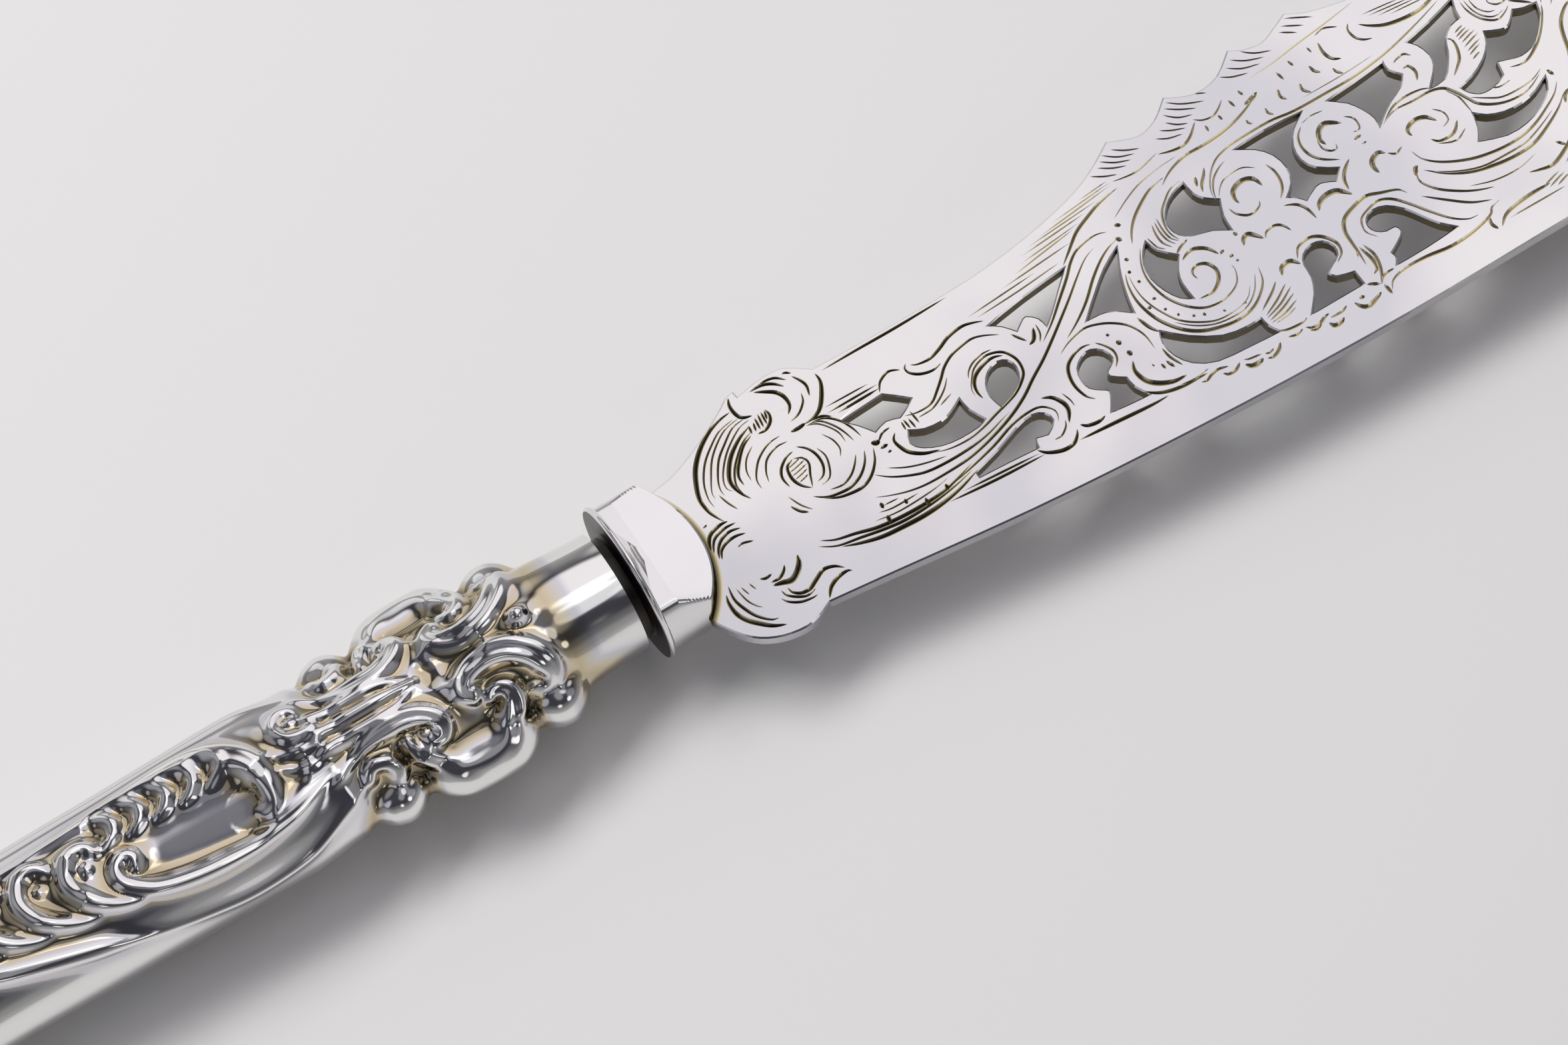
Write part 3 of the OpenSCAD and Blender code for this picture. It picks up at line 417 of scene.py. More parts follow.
FISH_CUTS = [
    (0.15, 56.8, 11.1, 58.1, 10.2, 59.4, 9.6), (0.15, 58, 11.5, 59.4, 10.5, 60.8, 9.9),
    (0.15, 58.6, 12, 60, 10.9, 61.6, 10.2), (0.15, 59.2, 12.5, 60.6, 11.3, 62.3, 10.6),
    (0.15, 60.4, 12.5, 61.7, 11.5, 63.1, 10.8), (0.15, 65, 10.8, 66.3, 10, 67.8, 9.6),
    (0.15, 65.9, 11.4, 67.1, 10.6, 68.5, 10), (0.15, 67, 11.8, 67.9, 10.9, 69, 10.3),
    (0.15, 67.3, 12.7, 68.5, 11.5, 70, 10.9), (0.15, 67.8, 13.3, 69.2, 12.2, 70.8, 11.3),
    (0.15, 68.4, 13.8, 69.8, 12.6, 72, 11.5), (0.12, 71.3, 13, 72.7, 12.2),
    (0.15, 74.8, 13, 76, 12.2, 77.7, 11.6), (0.15, 76, 13.5, 77.5, 12.4, 79.4, 11.8),
    (0.15, 76.9, 14.1, 78.3, 13, 80.2, 12.2), (0.15, 78.4, 14.3, 79.6, 13.2, 81.3, 12.4),
    (0.15, 83.1, 13.8, 84.8, 12.6), (0.15, 83.7, 14.3, 85.9, 12.9), (0.15, 84.5, 14.9, 87.3, 13.2),
    (0.2, 58.4, 9.2, 59.6, 8.9, 61, 8.7, 62.5, 8.9, 64.5, 9.4),
    (0.3, 64.2, 9.1, 65.6, 8.6, 67, 8.4, 68.3, 8.9, 69.7, 10.1),
    (0.2, 69.6, 10.4, 70.5, 9.7, 71.6, 9.5, 72.6, 9.9, 73.5, 10.6),
    (0.2, 77, 11, 80.3, 11.1, 84, 11.5, 87.5, 11.8, 92, 12.3), (0.12, 80.3, 5.8, 85.3, 5.6, 89.8, 5.7),
    (0.25, 70.3, 9.1, 70.2, 8.2), (0.25, 72.1, 9.3, 72.2, 8.5), (0.25, 74, 10.2, 74.2, 9),
    (0.25, 75.5, 10.5, 75.7, 9.7), (0.25, 80.1, 10, 80.3, 8.7), (0.25, 81.9, 10.4, 82.1, 9.5),
    (0.3, 79.1, 8.2, 78.8, 7.3, 79.2, 6.6), (0.32, 83.4, 8.6, 83.5, 7.8, 84, 7.2),
    (0.32, 81.4, 7.4, 81.2, 6.6, 81.8, 5.8), (0.25, 76.7, 7.1, 76.6, 6.5, 77, 5.9),
    (0.22, 74.2, 7.1, 74.2, 6.7, 74.5, 6.3), (0.28, 85.3, 6.9, 85.4, 6.3, 85.9, 5.7),
    (0.18, 84.5, 10.6, 84.6, 9.7), (0.35, 85.8, 10.4, 85.6, 8.9, 86, 7.8, 86.8, 7.3),
    (0.18, 86, 11.2, 87.3, 11.4, 88.7, 10.7), (0.25, 89.8, 10.4, 89.3, 9.7, 89.4, 8.6, 90, 7.8, 90.9, 7.4),
    (0.45, 90.6, 9.7, 91.4, 8.9, 92.8, 8, 94.5, 7.5, 96.4, 7.3, 98.4, 7.6, 101, 8.6),
    (0.12, 91.5, 10.4, 96, 9.7), (0.12, 92, 9.9, 97, 9.1), (0.12, 92.8, 9.3, 97.5, 8.7),
    (0.12, 94, 8.7, 98.4, 8.2),
]
FRONT_CUTS = [
    (0.22, 90.9, 3.6, 91.4, 3.8, 92.4, 3.9, 93, 3.3), (0.32, 91.3, 2.5, 92, 2.4, 92.2, 1.4, 91.7, 0.4),
    (0.25, 85.9, -1.7, 87.6, -0.7, 89.2, -0.4, 91.2, -0.6, 92.4, -1.1),
    (0.3, 85.6, -1.8, 87.6, -1.1, 89.8, -1.3, 92, -1.4, 93.4, -1.9, 94.2, -3, 94.8, -4.4, 95.4, -5.6,
     96.9, -6.7, 98.8, -7.3, 100.8, -7.2, 102.9, -6.3),
    (0.16, 93.4, -2.2, 94.1, -3.6, 94.2, -5.3, 94.2, -6.1),
    (0.5, 87.4, -4.7, 87.3, -4, 87.8, -3.5, 88.7, -3.3, 89.8, -3.6, 90.6, -4.7),
    (0.14, 90.9, -3.2, 91.7, -4.2, 91.6, -5.3, 90.6, -5.7),
    (0.35, 88.7, -6.1, 89.5, -6.9, 91.2, -6.9, 92.4, -5.8), (0.18, 89, -7, 90.9, -7.8, 92.6, -7.1),
    (0.55, 82, -6.3, 81.9, -5.2, 82.4, -4.5, 83.3, -4.2, 83.9, -4.7), (0.22, 84, -4.8, 84.8, -5.4, 85.8, -5),
    (0.32, 86.2, -6, 86.6, -7.4, 87.6, -8.6, 89.2, -9.7, 91.4, -10.7, 94, -11.3, 96.4, -11.4, 98.7, -11,
     100.9, -10.1, 102.6, -9.2, 103.7, -8.1),
    (0.38, 85.9, -8.6, 87.6, -10.3, 89.8, -11.7, 92.3, -12.5, 94.8, -12.9, 97.3, -12.8, 99.8, -11.9,
     102, -10.8, 103.4, -9.7),
    (0.22, 86.7, -9.4, 88.7, -10.8, 91.2, -11.9, 94, -12.2, 96.7, -12.2, 99.2, -11.5, 101.4, -10.6),
    (0.25, 85.6, -8, 85.1, -8.6, 84.9, -9.7, 85.9, -11.4, 87.6, -12.9, 89.2, -13.9, 90.9, -14.6),
    (0.45, 84.9, -8.8, 85.4, -8, 85.8, -7.9), (0.25, 83.9, -11, 85.9, -13, 87.8, -14.7, 89.8, -15.7),
    (0.15, 88.7, -13, 91.4, -14, 94.2, -14.3, 97, -13.8),
    (0.3, 97.2, 2.8, 97.6, 2.3, 97.5, 1.3, 96.9, 0, 96, -0.8, 95.2, -1.4), (0.18, 98.3, 2.8, 99.6, 3.2),
    (0.18, 98.1, 2.3, 99.8, 2.8), (0.18, 98.1, 1.9, 100, 2.4), (0.18, 98.2, 1.4, 100.4, 2),
    (0.18, 98.1, 0.8, 100.5, 1.5), (0.18, 98.1, 0.2, 100.2, 0.8), (0.18, 98, -0.3, 99.8, 0.3),
    (0.18, 98, -0.9, 99.2, -0.5),
    (0.22, 101, 5.6, 101, 4.4, 101.4, 3.1, 102.1, 2.1, 103.1, 1.5, 104.2, 1.8, 105, 2.3),
    (0.15, 101.4, 5.6, 101.5, 4, 102.1, 2.7, 103.1, 2, 104.4, 2.2),
    (0.14, 101.9, 5.4, 102, 4, 102.7, 2.9, 103.5, 2.6),
    (0.25, 101, 5.6, 101.9, 6.9, 103.6, 7.3, 105.4, 6.5, 106.1, 4.8, 105.5, 3.3, 104.2, 3, 103.4, 3.9,
     103.9, 4.9),
    (0.18, 95, -4.4, 96.3, -5.4, 97.7, -6.3, 99.4, -6.6, 101.7, -6.5, 103.3, -5.9),
    (0.14, 97.1, -4.4, 98.3, -5.2, 99.8, -5.2),
    (0.32, 100.6, -3.9, 101.7, -4.3, 102.9, -4.2, 104.6, -3.3, 106, -2.1, 107.3, -0.6, 107.9, 0.4),
    (0.35, 103.6, -6.4, 103.9, -7.4), (0.25, 105.2, 2.8, 106.3, 1.9, 107.3, 1),
    (0.4, 104.6, -9.4, 105.9, -7.8, 106.9, -5.9, 107.5, -4.2, 108.1, -2.9, 109, -1.9, 110.3, -1.1, 111.8, -1),
    (0.25, 107.9, 0.4, 108.9, 1.9, 110.3, 2.7, 112, 2.9), (0.18, 108.6, -0.3, 110.2, 0.9, 112.4, 1.2),
]
ENGRAVING = ROOT_CUTS + STEM_CUTS + SCROLL_CUTS + BORDER_CUTS + FISH_CUTS + FRONT_CUTS

# The struck ornament. A stroke is its half width, its height, how much of its width is left at its two ends,
# how deep its flute is, and its points: distance behind the handle's mouth, and distance across the face from
# the crest. The cluster's strokes are mirrored about the crest.
CLUSTER = [
    (1.9, 1.5, 0.7, 0.5, 0.3, 18.7, 5.1, 19.6, 4, 18.9, 2.6, 17.2, 1.9, 15.3, 1.9, 13.4, 2.6, 11.8, 4,
     10.8, 5.8, 10.4, 7.6, 10.9, 9.2, 12, 9.7, 12.8, 8.6),
    (2, 2.2, 0.5, 0.45, 0.25, 26.9, 5.9, 26.5, 7.6, 25, 9.7, 23, 11.4, 20.8, 12.2, 18.4, 11.6, 16.5, 9.8,
     15.5, 8, 15.5, 6.5, 16.6, 5.7, 17.4, 6.5),
    (1.6, 1.5, 0.15, 0.5, 0.25, 35.5, 5.4, 33.4, 4.5, 30.9, 3.5, 28.5, 3.2, 26, 3.3, 24.1, 4.2, 23, 5.7,
     23.5, 7.4, 24.9, 7.3, 25, 6.2),
    (1.2, 1.4, 0.8, 0.6, 0.2, 32.2, 7.4, 31.5, 6.1, 29.8, 6.6, 29.1, 8.4, 30, 10.2, 32, 11.2),
    (1.15, 1.4, 0.15, 0.1, 0, 36.5, 0.2, 34, 0, 30, 0, 26, 0, 22, 0),
    (1.1, 1.2, 0.15, 0.1, 0, 36.2, 2.4, 34, 1.8, 30, 1.9, 26.4, 1.7, 23.4, 0.6),
    (1.45, 1.6, 1, 1, 0, 10.9, 0, 10.9, 0.01), (3.5, 2.8, 1, 1, 0, 30, 13, 30, 14),
    (3.6, 2.8, 1, 1, 0, 11, 13, 11, 14), (4.5, 3.8, 1, 1, 0, 17.9, 13.6, 23.1, 13.6),
    (0.85, 0.6, 0.5, 0.5, 0, 20.3, 0, 20.9, 1.8, 20.6, 3.4, 21.6, 4.9),
]
FIELD = [
    (1.25, 1.3, 0.8, 0.15, 0, 56.9, -2.2, 56.6, -1.2, 57.5, -0.6, 58.7, -1.4, 58.8, -2.7, 57.6, -4,
     55.6, -5.1, 52.1, -5.9, 48.1, -6.2, 44.2, -6.2, 40.2, -5.7, 37.2, -4.8, 34.9, -3.9),
    (1.75, 1.3, 0.2, 0.5, 0.2, 73.7, 4.5, 65.7, 4.5, 58.7, 4.7, 52, 5, 48, 4.6, 45.1, 3.7, 43.1, 2.3,
     41.9, 0.9, 41.4, -0.6, 41.5, -2.1, 41.8, -3.2, 43, -3.9, 44, -3),
    (1.2, 1, 0.3, 0.25, 0.15, 82, -1, 78, -3, 74.5, -4.6, 69, -6.2, 64, -7.6, 61, -8.6, 57, -9.9),
    (0.6, 0.55, 0.5, 0.3, 0, 62, -8.3, 57, -9.9, 52, -11, 47.4, -11.6, 42, -11, 38, -9.6, 34.5, -8,
     31.5, -6.6),
    (0.85, 1, 0.6, 0.9, 0, 35.2, 2.8, 35.6, 4, 37, 4.1, 38.1, 2.8, 37.4, 1.2, 35.8, 0.8, 34.3, 0.9),
    (0.7, 0.9, 1, 1, 0, 36.3, 2.5, 36.3, 2.51), (0.8, 0.8, 0.3, 1, 0, 40.7, 0.9, 37.7, -0.5, 34.7, -0.7),
    (0.6, 0.6, 0.3, 1, 0, 40.5, -0.5, 38.2, -1.8, 36.2, -2.4),
]
# A gadroon, a leaf and its eye, and a reed are placed again and again
GADROON = (1.1, 1.2, 0.2, 0.6, 0, 1.6, 4.3, 0.2, 4.1, -0.9, 3.5, -1.2, 2.6, -0.6, 1.7, 0.7, 0.9)
GADROON_AT = [45.6, 48.6, 51.7, 54.8, 57.9]
LEAF = (1.3, 1.3, 0.5, 0.06, 0, 59.6, 0.9, 60.6, 2.1, 62.5, 1.8, 63.6, 0, 63.1, -2, 61.2, -4, 58.6, -5.2,
        56.6, -5.5)
LEAF_EYE = (0.75, 0.8, 1, 1, 0, 61.2, -0.1, 61.2, -0.09)
LEAVES = 4
LEAF_STEP = 5.2
LEAF_CLIMB = 0.7
REED = (0.55, 0.45, 0.3, 0.3, 0, 34.5, -2, 38, -0.6, 44, 0, 60, 0, 90, 0, HANDLE_L - BUTT_L, 0)
REEDS_AT = [7.9, 9.1]
# Dished places of the ground: half width, depth, and points as above
DISHES = [
    (4.2, 0.8, 57, -1.2, 53, -1.6, 48.5, -2.2, 45.5, -2.4), (1.9, 0.4, 58, 3.2, 52, 3, 46, 2.3),
    (3.2, 0.5, 16, 6.4, 16, 6.41), (3.2, 0.5, 16, -6.4, 16, -6.41), (2.6, 0.6, 20.8, 0, 17.5, 0),
    (2.2, 0.5, 27, 6.6, 27, 6.61), (2.2, 0.5, 27, -6.6, 27, -6.61), (2.6, 0.6, 44, -3, 39, -1.5),
    (3, 0.6, 73.5, 2, 69, 0.6, 64.5, -0.4),
]


def along(points):
    """A smooth line through points: each span is a Catmull-Rom cubic sampled in equal steps."""
    p = np.asarray(points, float)
    q = np.vstack([2 * p[0] - p[1], p, 2 * p[-1] - p[-2]])[:, None]
    a, b, c, d = q[:-3], q[1:-2], q[2:-1], q[3:]
    t = (np.arange(SPAN_STEPS) / SPAN_STEPS)[None, :, None]
    bend, twist = 2 * a - 5 * b + 4 * c - d, 3 * b - a - 3 * c + d
    spans = 0.5 * (2 * b + (c - a) * t + bend * t ** 2 + twist * t ** 3)
    return np.vstack([spans.reshape(-1, 2), p[-1:]])


def nearest(points, line, size):
    """Distance from each point to a line of segments, and the size interpolated at the nearest place."""
    a, b = line[:-1], line[1:]
    ab = b - a
    length = np.maximum((ab ** 2).sum(1), TINY)
    t = np.clip(((points[:, None] - a) * ab).sum(2) / length, 0, 1)
    gap = np.linalg.norm(points[:, None] - a - t[..., None] * ab, axis=2)
    best = gap.argmin(1)
    row = np.arange(len(points))
    s = t[row, best]
    return gap[row, best], size[best] * (1 - s) + size[best + 1] * s


def in_reach(points, line, reach):
    """Which points lie in the line's box, widened by a reach."""
    return np.flatnonzero((points >= line.min(0) - reach).all(1) & (points <= line.max(0) + reach).all(1))


def left_of(run):
    """Unit vectors to the left of a flat line's directions."""
    return np.column_stack([-run[:, 1], run[:, 0]]) / np.maximum(np.linalg.norm(run, axis=1), TINY)[:, None]


def blurred(field, times):
    """A field averaged with its four neighbours again and again."""
    for _ in range(times):
        wide = np.pad(field, 1, mode="edge")
        field = (wide[:-2, 1:-1] + wide[2:, 1:-1] + wide[1:-1, :-2] + wide[1:-1, 2:]) / 4
    return field


def new_mesh(name, points, faces, materials, smooth=0, slots=None, tarnish=None):
    """One object from points in millimetres and faces, of which the first so many are smooth."""
    mesh = bpy.data.meshes.new(name)
    mesh.from_pydata((np.asarray(points) * MM).tolist(), [], [f.tolist() for f in faces])
    for material in materials:
        mesh.materials.append(material)
    if slots is not None:
        mesh.polygons.foreach_set("material_index", slots)
    if tarnish is not None:
        mesh.attributes.new("tarnish", "FLOAT", "POINT").data.foreach_set("value", tarnish)
    if smooth:
        mesh.polygons.foreach_set("use_smooth", np.ones(len(faces), bool))
        mesh.set_sharp_from_angle(angle=SHARP_ANGLE)
    mesh.polygons.foreach_set("use_smooth", np.arange(len(faces)) < smooth)
    mesh.update()
    piece = bpy.data.objects.new(name, mesh)
    bpy.context.scene.collection.objects.link(piece)
    return piece


def grid_faces(rows, columns, closed):
    """Quads of a grid of points, rows by columns, joined round its columns where closed."""
    i, j = np.meshgrid(np.arange(rows - 1), np.arange(columns if closed else columns - 1), indexing="ij")
    k = (j + 1) % columns
    corners = [i * columns + j, (i + 1) * columns + j, (i + 1) * columns + k, i * columns + k]
    return np.stack(corners, axis=2).reshape(-1, 4)


def facing_up(points, tri):
    """Flat triangles, with those that face down turned over."""
    first, second = points[tri[:, 1]] - points[tri[:, 0]], points[tri[:, 2]] - points[tri[:, 0]]
    down = first[:, 0] * second[:, 1] - first[:, 1] * second[:, 0] < 0
    return np.where(down[:, None], tri[:, ::-1], tri)


def lone_edges(tri):
    """Directed edges that only one triangle has."""
    edges = np.vstack([tri[:, [0, 1]], tri[:, [1, 2]], tri[:, [2, 0]]])
    _, inverse, count = np.unique(np.sort(edges, axis=1), axis=0, return_inverse=True, return_counts=True)
    return edges[count[inverse.reshape(-1)] == 1]


def flat_rim(node, level):
    """Points and directed edges round the flat face of a node at a height, its inside on their left."""
    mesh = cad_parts[node].data
    mesh.calc_loop_triangles()
    co = np.empty(len(mesh.vertices) * 3)
    mesh.vertices.foreach_get("co", co)
    tri = np.empty(len(mesh.loop_triangles) * 3, int)
    mesh.loop_triangles.foreach_get("vertices", tri)
    points, same = np.unique(np.round(co.reshape(-1, 3) / MM, WELD_DIGITS), axis=0, return_inverse=True)
    tri = same.reshape(-1)[tri].reshape(-1, 3)
    tri = tri[(np.abs(points[tri][:, :, 2] - level) < SAME_LEVEL).all(1)]
    used, edges = np.unique(lone_edges(facing_up(points, tri)), return_inverse=True)
    return points[used][:, :2], edges.reshape(-1, 2)


def inset(points, edges, width):
    """Each rim point moved into the metal along its mitre, which is held to twice the width."""
    normal = left_of(points[edges[:, 1]] - points[edges[:, 0]])
    total = np.zeros_like(points)
    np.add.at(total, edges[:, 0], normal)
    np.add.at(total, edges[:, 1], normal)
    mitre = 2 * total / np.maximum((total ** 2).sum(1), TINY)[:, None]
    long = np.maximum(np.linalg.norm(mitre, axis=1) / 2, 1)
    return points + width * mitre / long[:, None]


def inside(points, rim, edges):
    """Even-odd test: whether a ray from each point crosses the rim's edges an odd number of times."""
    a, b = rim[edges[:, 0]], rim[edges[:, 1]]
    rise = np.where(b[:, 1] == a[:, 1], 1, b[:, 1] - a[:, 1])
    result = np.zeros(len(points), bool)
    for start in range(0, len(points), BLOCK):
        p = points[start:start + BLOCK, None]
        above = (a[:, 1] > p[..., 1]) != (b[:, 1] > p[..., 1])
        cross = a[:, 0] + (p[..., 1] - a[:, 1]) * (b[:, 0] - a[:, 0]) / rise
        result[start:start + BLOCK] = (above & (p[..., 0] < cross)).sum(1) % 2 == 1
    return result


def rim_distance(points, rim, edges, reach):
    """Distance from each point to the nearest rim edge, worked out in blocks and cut off at the reach."""
    a, ab = rim[edges[:, 0]], rim[edges[:, 1]] - rim[edges[:, 0]]
    length = np.maximum((ab ** 2).sum(1), TINY)
    result = np.full(len(points), float(reach))
    for start in range(0, len(points), BLOCK):
        p = points[start:start + BLOCK, None]
        t = np.clip(((p - a) * ab).sum(2) / length, 0, 1)
        result[start:start + BLOCK] = np.linalg.norm(p - a - t[..., None] * ab, axis=2).min(1)
    return np.minimum(result, reach)


def to_frame(points):
    """Blade drawing to the knife's frame: shifted across, then turned about the origin."""
    turn = np.radians(BLADE_TURN)
    x, y = points[:, 0], points[:, 1] + BLADE_SHIFT
    return np.column_stack([x * np.cos(turn) - y * np.sin(turn), x * np.sin(turn) + y * np.cos(turn)])


def cut_line(width, flat, gain):
    """The middle line of an engraved cut and its half width, which swells and runs out to a point."""
    line = to_frame(along(np.reshape(flat, (-1, 2))))
    run = np.concatenate([[0], np.cumsum(np.linalg.norm(np.diff(line, axis=0), axis=1))])
    s = run / run[-1]
    return line, (THIN_CUT + gain * width) / 2 * np.clip(4 * s * (1 - s), 0, 1) ** CUT_SWELL


def blade_sheet(look):
    """The blade's upper face as triangles: its rim, a line inside it, and each cut as a V with two banks."""
    rim, edges = flat_rim("blade", 0.0)
    points = [rim, inset(rim, edges, look.rim_width / MM)]
    lines = [edges, edges + len(rim)]
    count = 2 * len(rim)
    cuts = [cut_line(width, flat, look.cut_gain) for width, *flat in ENGRAVING]
    for line, half in cuts:
        side = left_of(np.gradient(line, axis=0)) * half[:, None]
        n = len(line)
        middle = count + np.arange(n)
        points += [line, (line + side)[1:-1], (line - side)[1:-1]]
        left = np.concatenate([middle[:1], count + n + np.arange(n - 2), middle[-1:]])
        right = np.concatenate([middle[:1], count + 2 * n - 2 + np.arange(n - 2), middle[-1:]])
        lines += [np.column_stack([c[:-1], c[1:]]) for c in (middle, left, right)]
        count += 3 * n - 4
    angle = np.radians(np.linspace(-LINE_ANGLE, LINE_ANGLE, LINE_POINTS))
    step = np.arange(LINE_POINTS)
    for ring in look.junction_rings:
        radius = FRONT_R + ring
        points.append(np.column_stack([radius * np.cos(angle) - FRONT_R, radius * np.sin(angle)]))
        lines.append(count + np.column_stack([step[:-1], step[1:]]))
        count += LINE_POINTS
    points, lines = [Vector(p) for p in np.vstack(points)], np.vstack(lines).tolist()
    found, _, faces, *_ = delaunay_2d_cdt(points, lines, [], 0, SAME_POINT, False)
    found, faces = np.array([p[:] for p in found]), np.array(faces)
    faces = faces[inside(found[faces].mean(1), rim, edges)]
    used, faces = np.unique(faces, return_inverse=True)
    return found[used], faces.reshape(-1, 3), rim, edges, cuts


def of_outline(flat, sides):
    """Which wall edges are the blade's outline: labels spread along the edges until each loop has one."""
    label = np.arange(len(flat))
    while True:
        low = label.copy()
        np.minimum.at(low, sides[:, 0], label[sides[:, 1]])
        np.minimum.at(low, sides[:, 1], label[sides[:, 0]])
        low = low[low]
        if (low == label).all():
            break
        label = low
    tip = sides[flat[sides[:, 0], 0].argmax(), 0]
    return label[sides[:, 0]] == label[tip]


def blade_piece(look, materials):
    """The plate: its face sinks to the rim's round and to each cut's bottom, and walls join two faces."""
    flat, faces, rim, edges, cuts = blade_sheet(look)
    faces = facing_up(flat, faces)
    rim_w = look.rim_width / MM
    drop = look.rim_drop / MM * (1 - rim_distance(flat, rim, edges, rim_w) / rim_w)
    sunk, dark = np.zeros(len(flat)), np.zeros(len(flat))
    for (width, *_), (line, half) in zip(ENGRAVING, cuts):
        near = in_reach(flat, line, width)
        gap, size = nearest(flat[near], line, half)
        inward = np.maximum(size - gap, 0)
        sunk[near] = np.maximum(sunk[near], np.minimum(look.cut_slope * inward, look.cut_depth / MM))
        dark[near] = np.maximum(dark[near], np.minimum(inward / DARK_REACH, 1))
    dark *= 1 - THINNED * np.clip((flat[:, 0] - THIN_FROM) / THIN_OVER, 0, 1)
    front = np.hypot(flat[:, 0] + FRONT_R, flat[:, 1]) - FRONT_R
    seam = np.clip(1 - front / look.junction_rings[2], 0, 1)
    seam[flat[:, 0] > LINE_END] = 0
    top, bottom = -np.maximum(drop, sunk), -BLADE_T + drop
    points = np.vstack([np.column_stack([flat, top]), np.column_stack([flat, bottom])])
    n = len(flat)
    sides = lone_edges(faces)
    walls = np.column_stack([sides[:, 0], sides[:, 0] + n, sides[:, 1] + n, sides[:, 1]])
    slots = np.concatenate([np.zeros(2 * len(faces), int), ~of_outline(flat, sides)])
    tarnish = np.concatenate([np.maximum(dark, seam), np.zeros(n)])
    faces = [*faces, *(faces[:, ::-1] + n), *walls]
    return new_mesh("engraved_blade", points, faces, materials, slots=slots, tarnish=tarnish)


def ground(behind, values):
    """Half width or half thickness of the handle's ground form, eased from station to station."""
    at = STATIONS[:, 0]
    k = np.clip(np.searchsorted(at, behind, side="right") - 1, 0, len(at) - 2)
    t = (behind - at[k]) / (at[k + 1] - at[k])
    return values[k] + (values[k + 1] - values[k]) * (3 - 2 * t) * t * t


def strokes():
    """Every stroke of the ornament, how far back and across it is placed, and whether it is mirrored."""
    placed = [(s, (0, 0), True) for s in CLUSTER] + [(s, (0, 0), False) for s in FIELD]
    placed += [(GADROON, (at, 0), False) for at in GADROON_AT]
    placed += [(s, (LEAF_STEP * i, LEAF_CLIMB * i), False) for i in range(LEAVES) for s in (LEAF, LEAF_EYE)]
    return placed + [(REED, (0, at), False) for at in REEDS_AT]


def ornament(behind, across):
    """Height of the struck relief on a grid: half-round ridges, some fluted, that run into one another."""
    height = np.zeros((len(behind), len(across)))
    for (half, high, first, last, flute, *flat), place, mirrored in strokes():
        line = along(np.reshape(flat, (-1, 2)) + place)
        s = np.linspace(0, 1, len(line))
        size = half * np.minimum(first + (1 - first) * np.clip(s / END_SHARE, 0, 1),
                                 last + (1 - last) * np.clip((1 - s) / END_SHARE, 0, 1))
        u = np.abs(across) if mirrored else across
        rows = np.flatnonzero((behind > line[:, 0].min() - half) & (behind < line[:, 0].max() + half))
        columns = np.flatnonzero((u > line[:, 1].min() - half) & (u < line[:, 1].max() + half))
        if not len(rows) or not len(columns):
            continue
        d, c = np.meshgrid(behind[rows], u[columns], indexing="ij")
        gap, width = nearest(np.column_stack([d.ravel(), c.ravel()]), line, size)
        q = gap / width
        part = np.clip(1 - q ** 2, 0, 1) ** SECTION * (THIN_HEIGHT + (1 - THIN_HEIGHT) * width / half)
        part = part * (1 - flute * np.exp(-(q / FLUTE_W) ** 2))
        height[np.ix_(rows, columns)] += (high * part.reshape(d.shape)) ** UNION
    height = blurred(height ** (1 / UNION), FINE_BLUR)
    soft = blurred(height, SOFT_BLUR)
    share = np.clip(soft / CREST, 0, 1)
    height = height * share + soft * (1 - share)
    d, c = np.meshgrid(behind, across, indexing="ij")
    places = np.column_stack([d.ravel(), c.ravel()])
    for half, deep, *flat in DISHES:
        line = along(np.reshape(flat, (-1, 2)))
        near = in_reach(places, line, half)
        gap, _ = nearest(places[near], line, np.ones(len(line)))
        height.ravel()[near] -= deep * np.clip(1 - (gap / half) ** 4, 0, 1) ** 2
    return np.maximum(height, -DEEPEST)


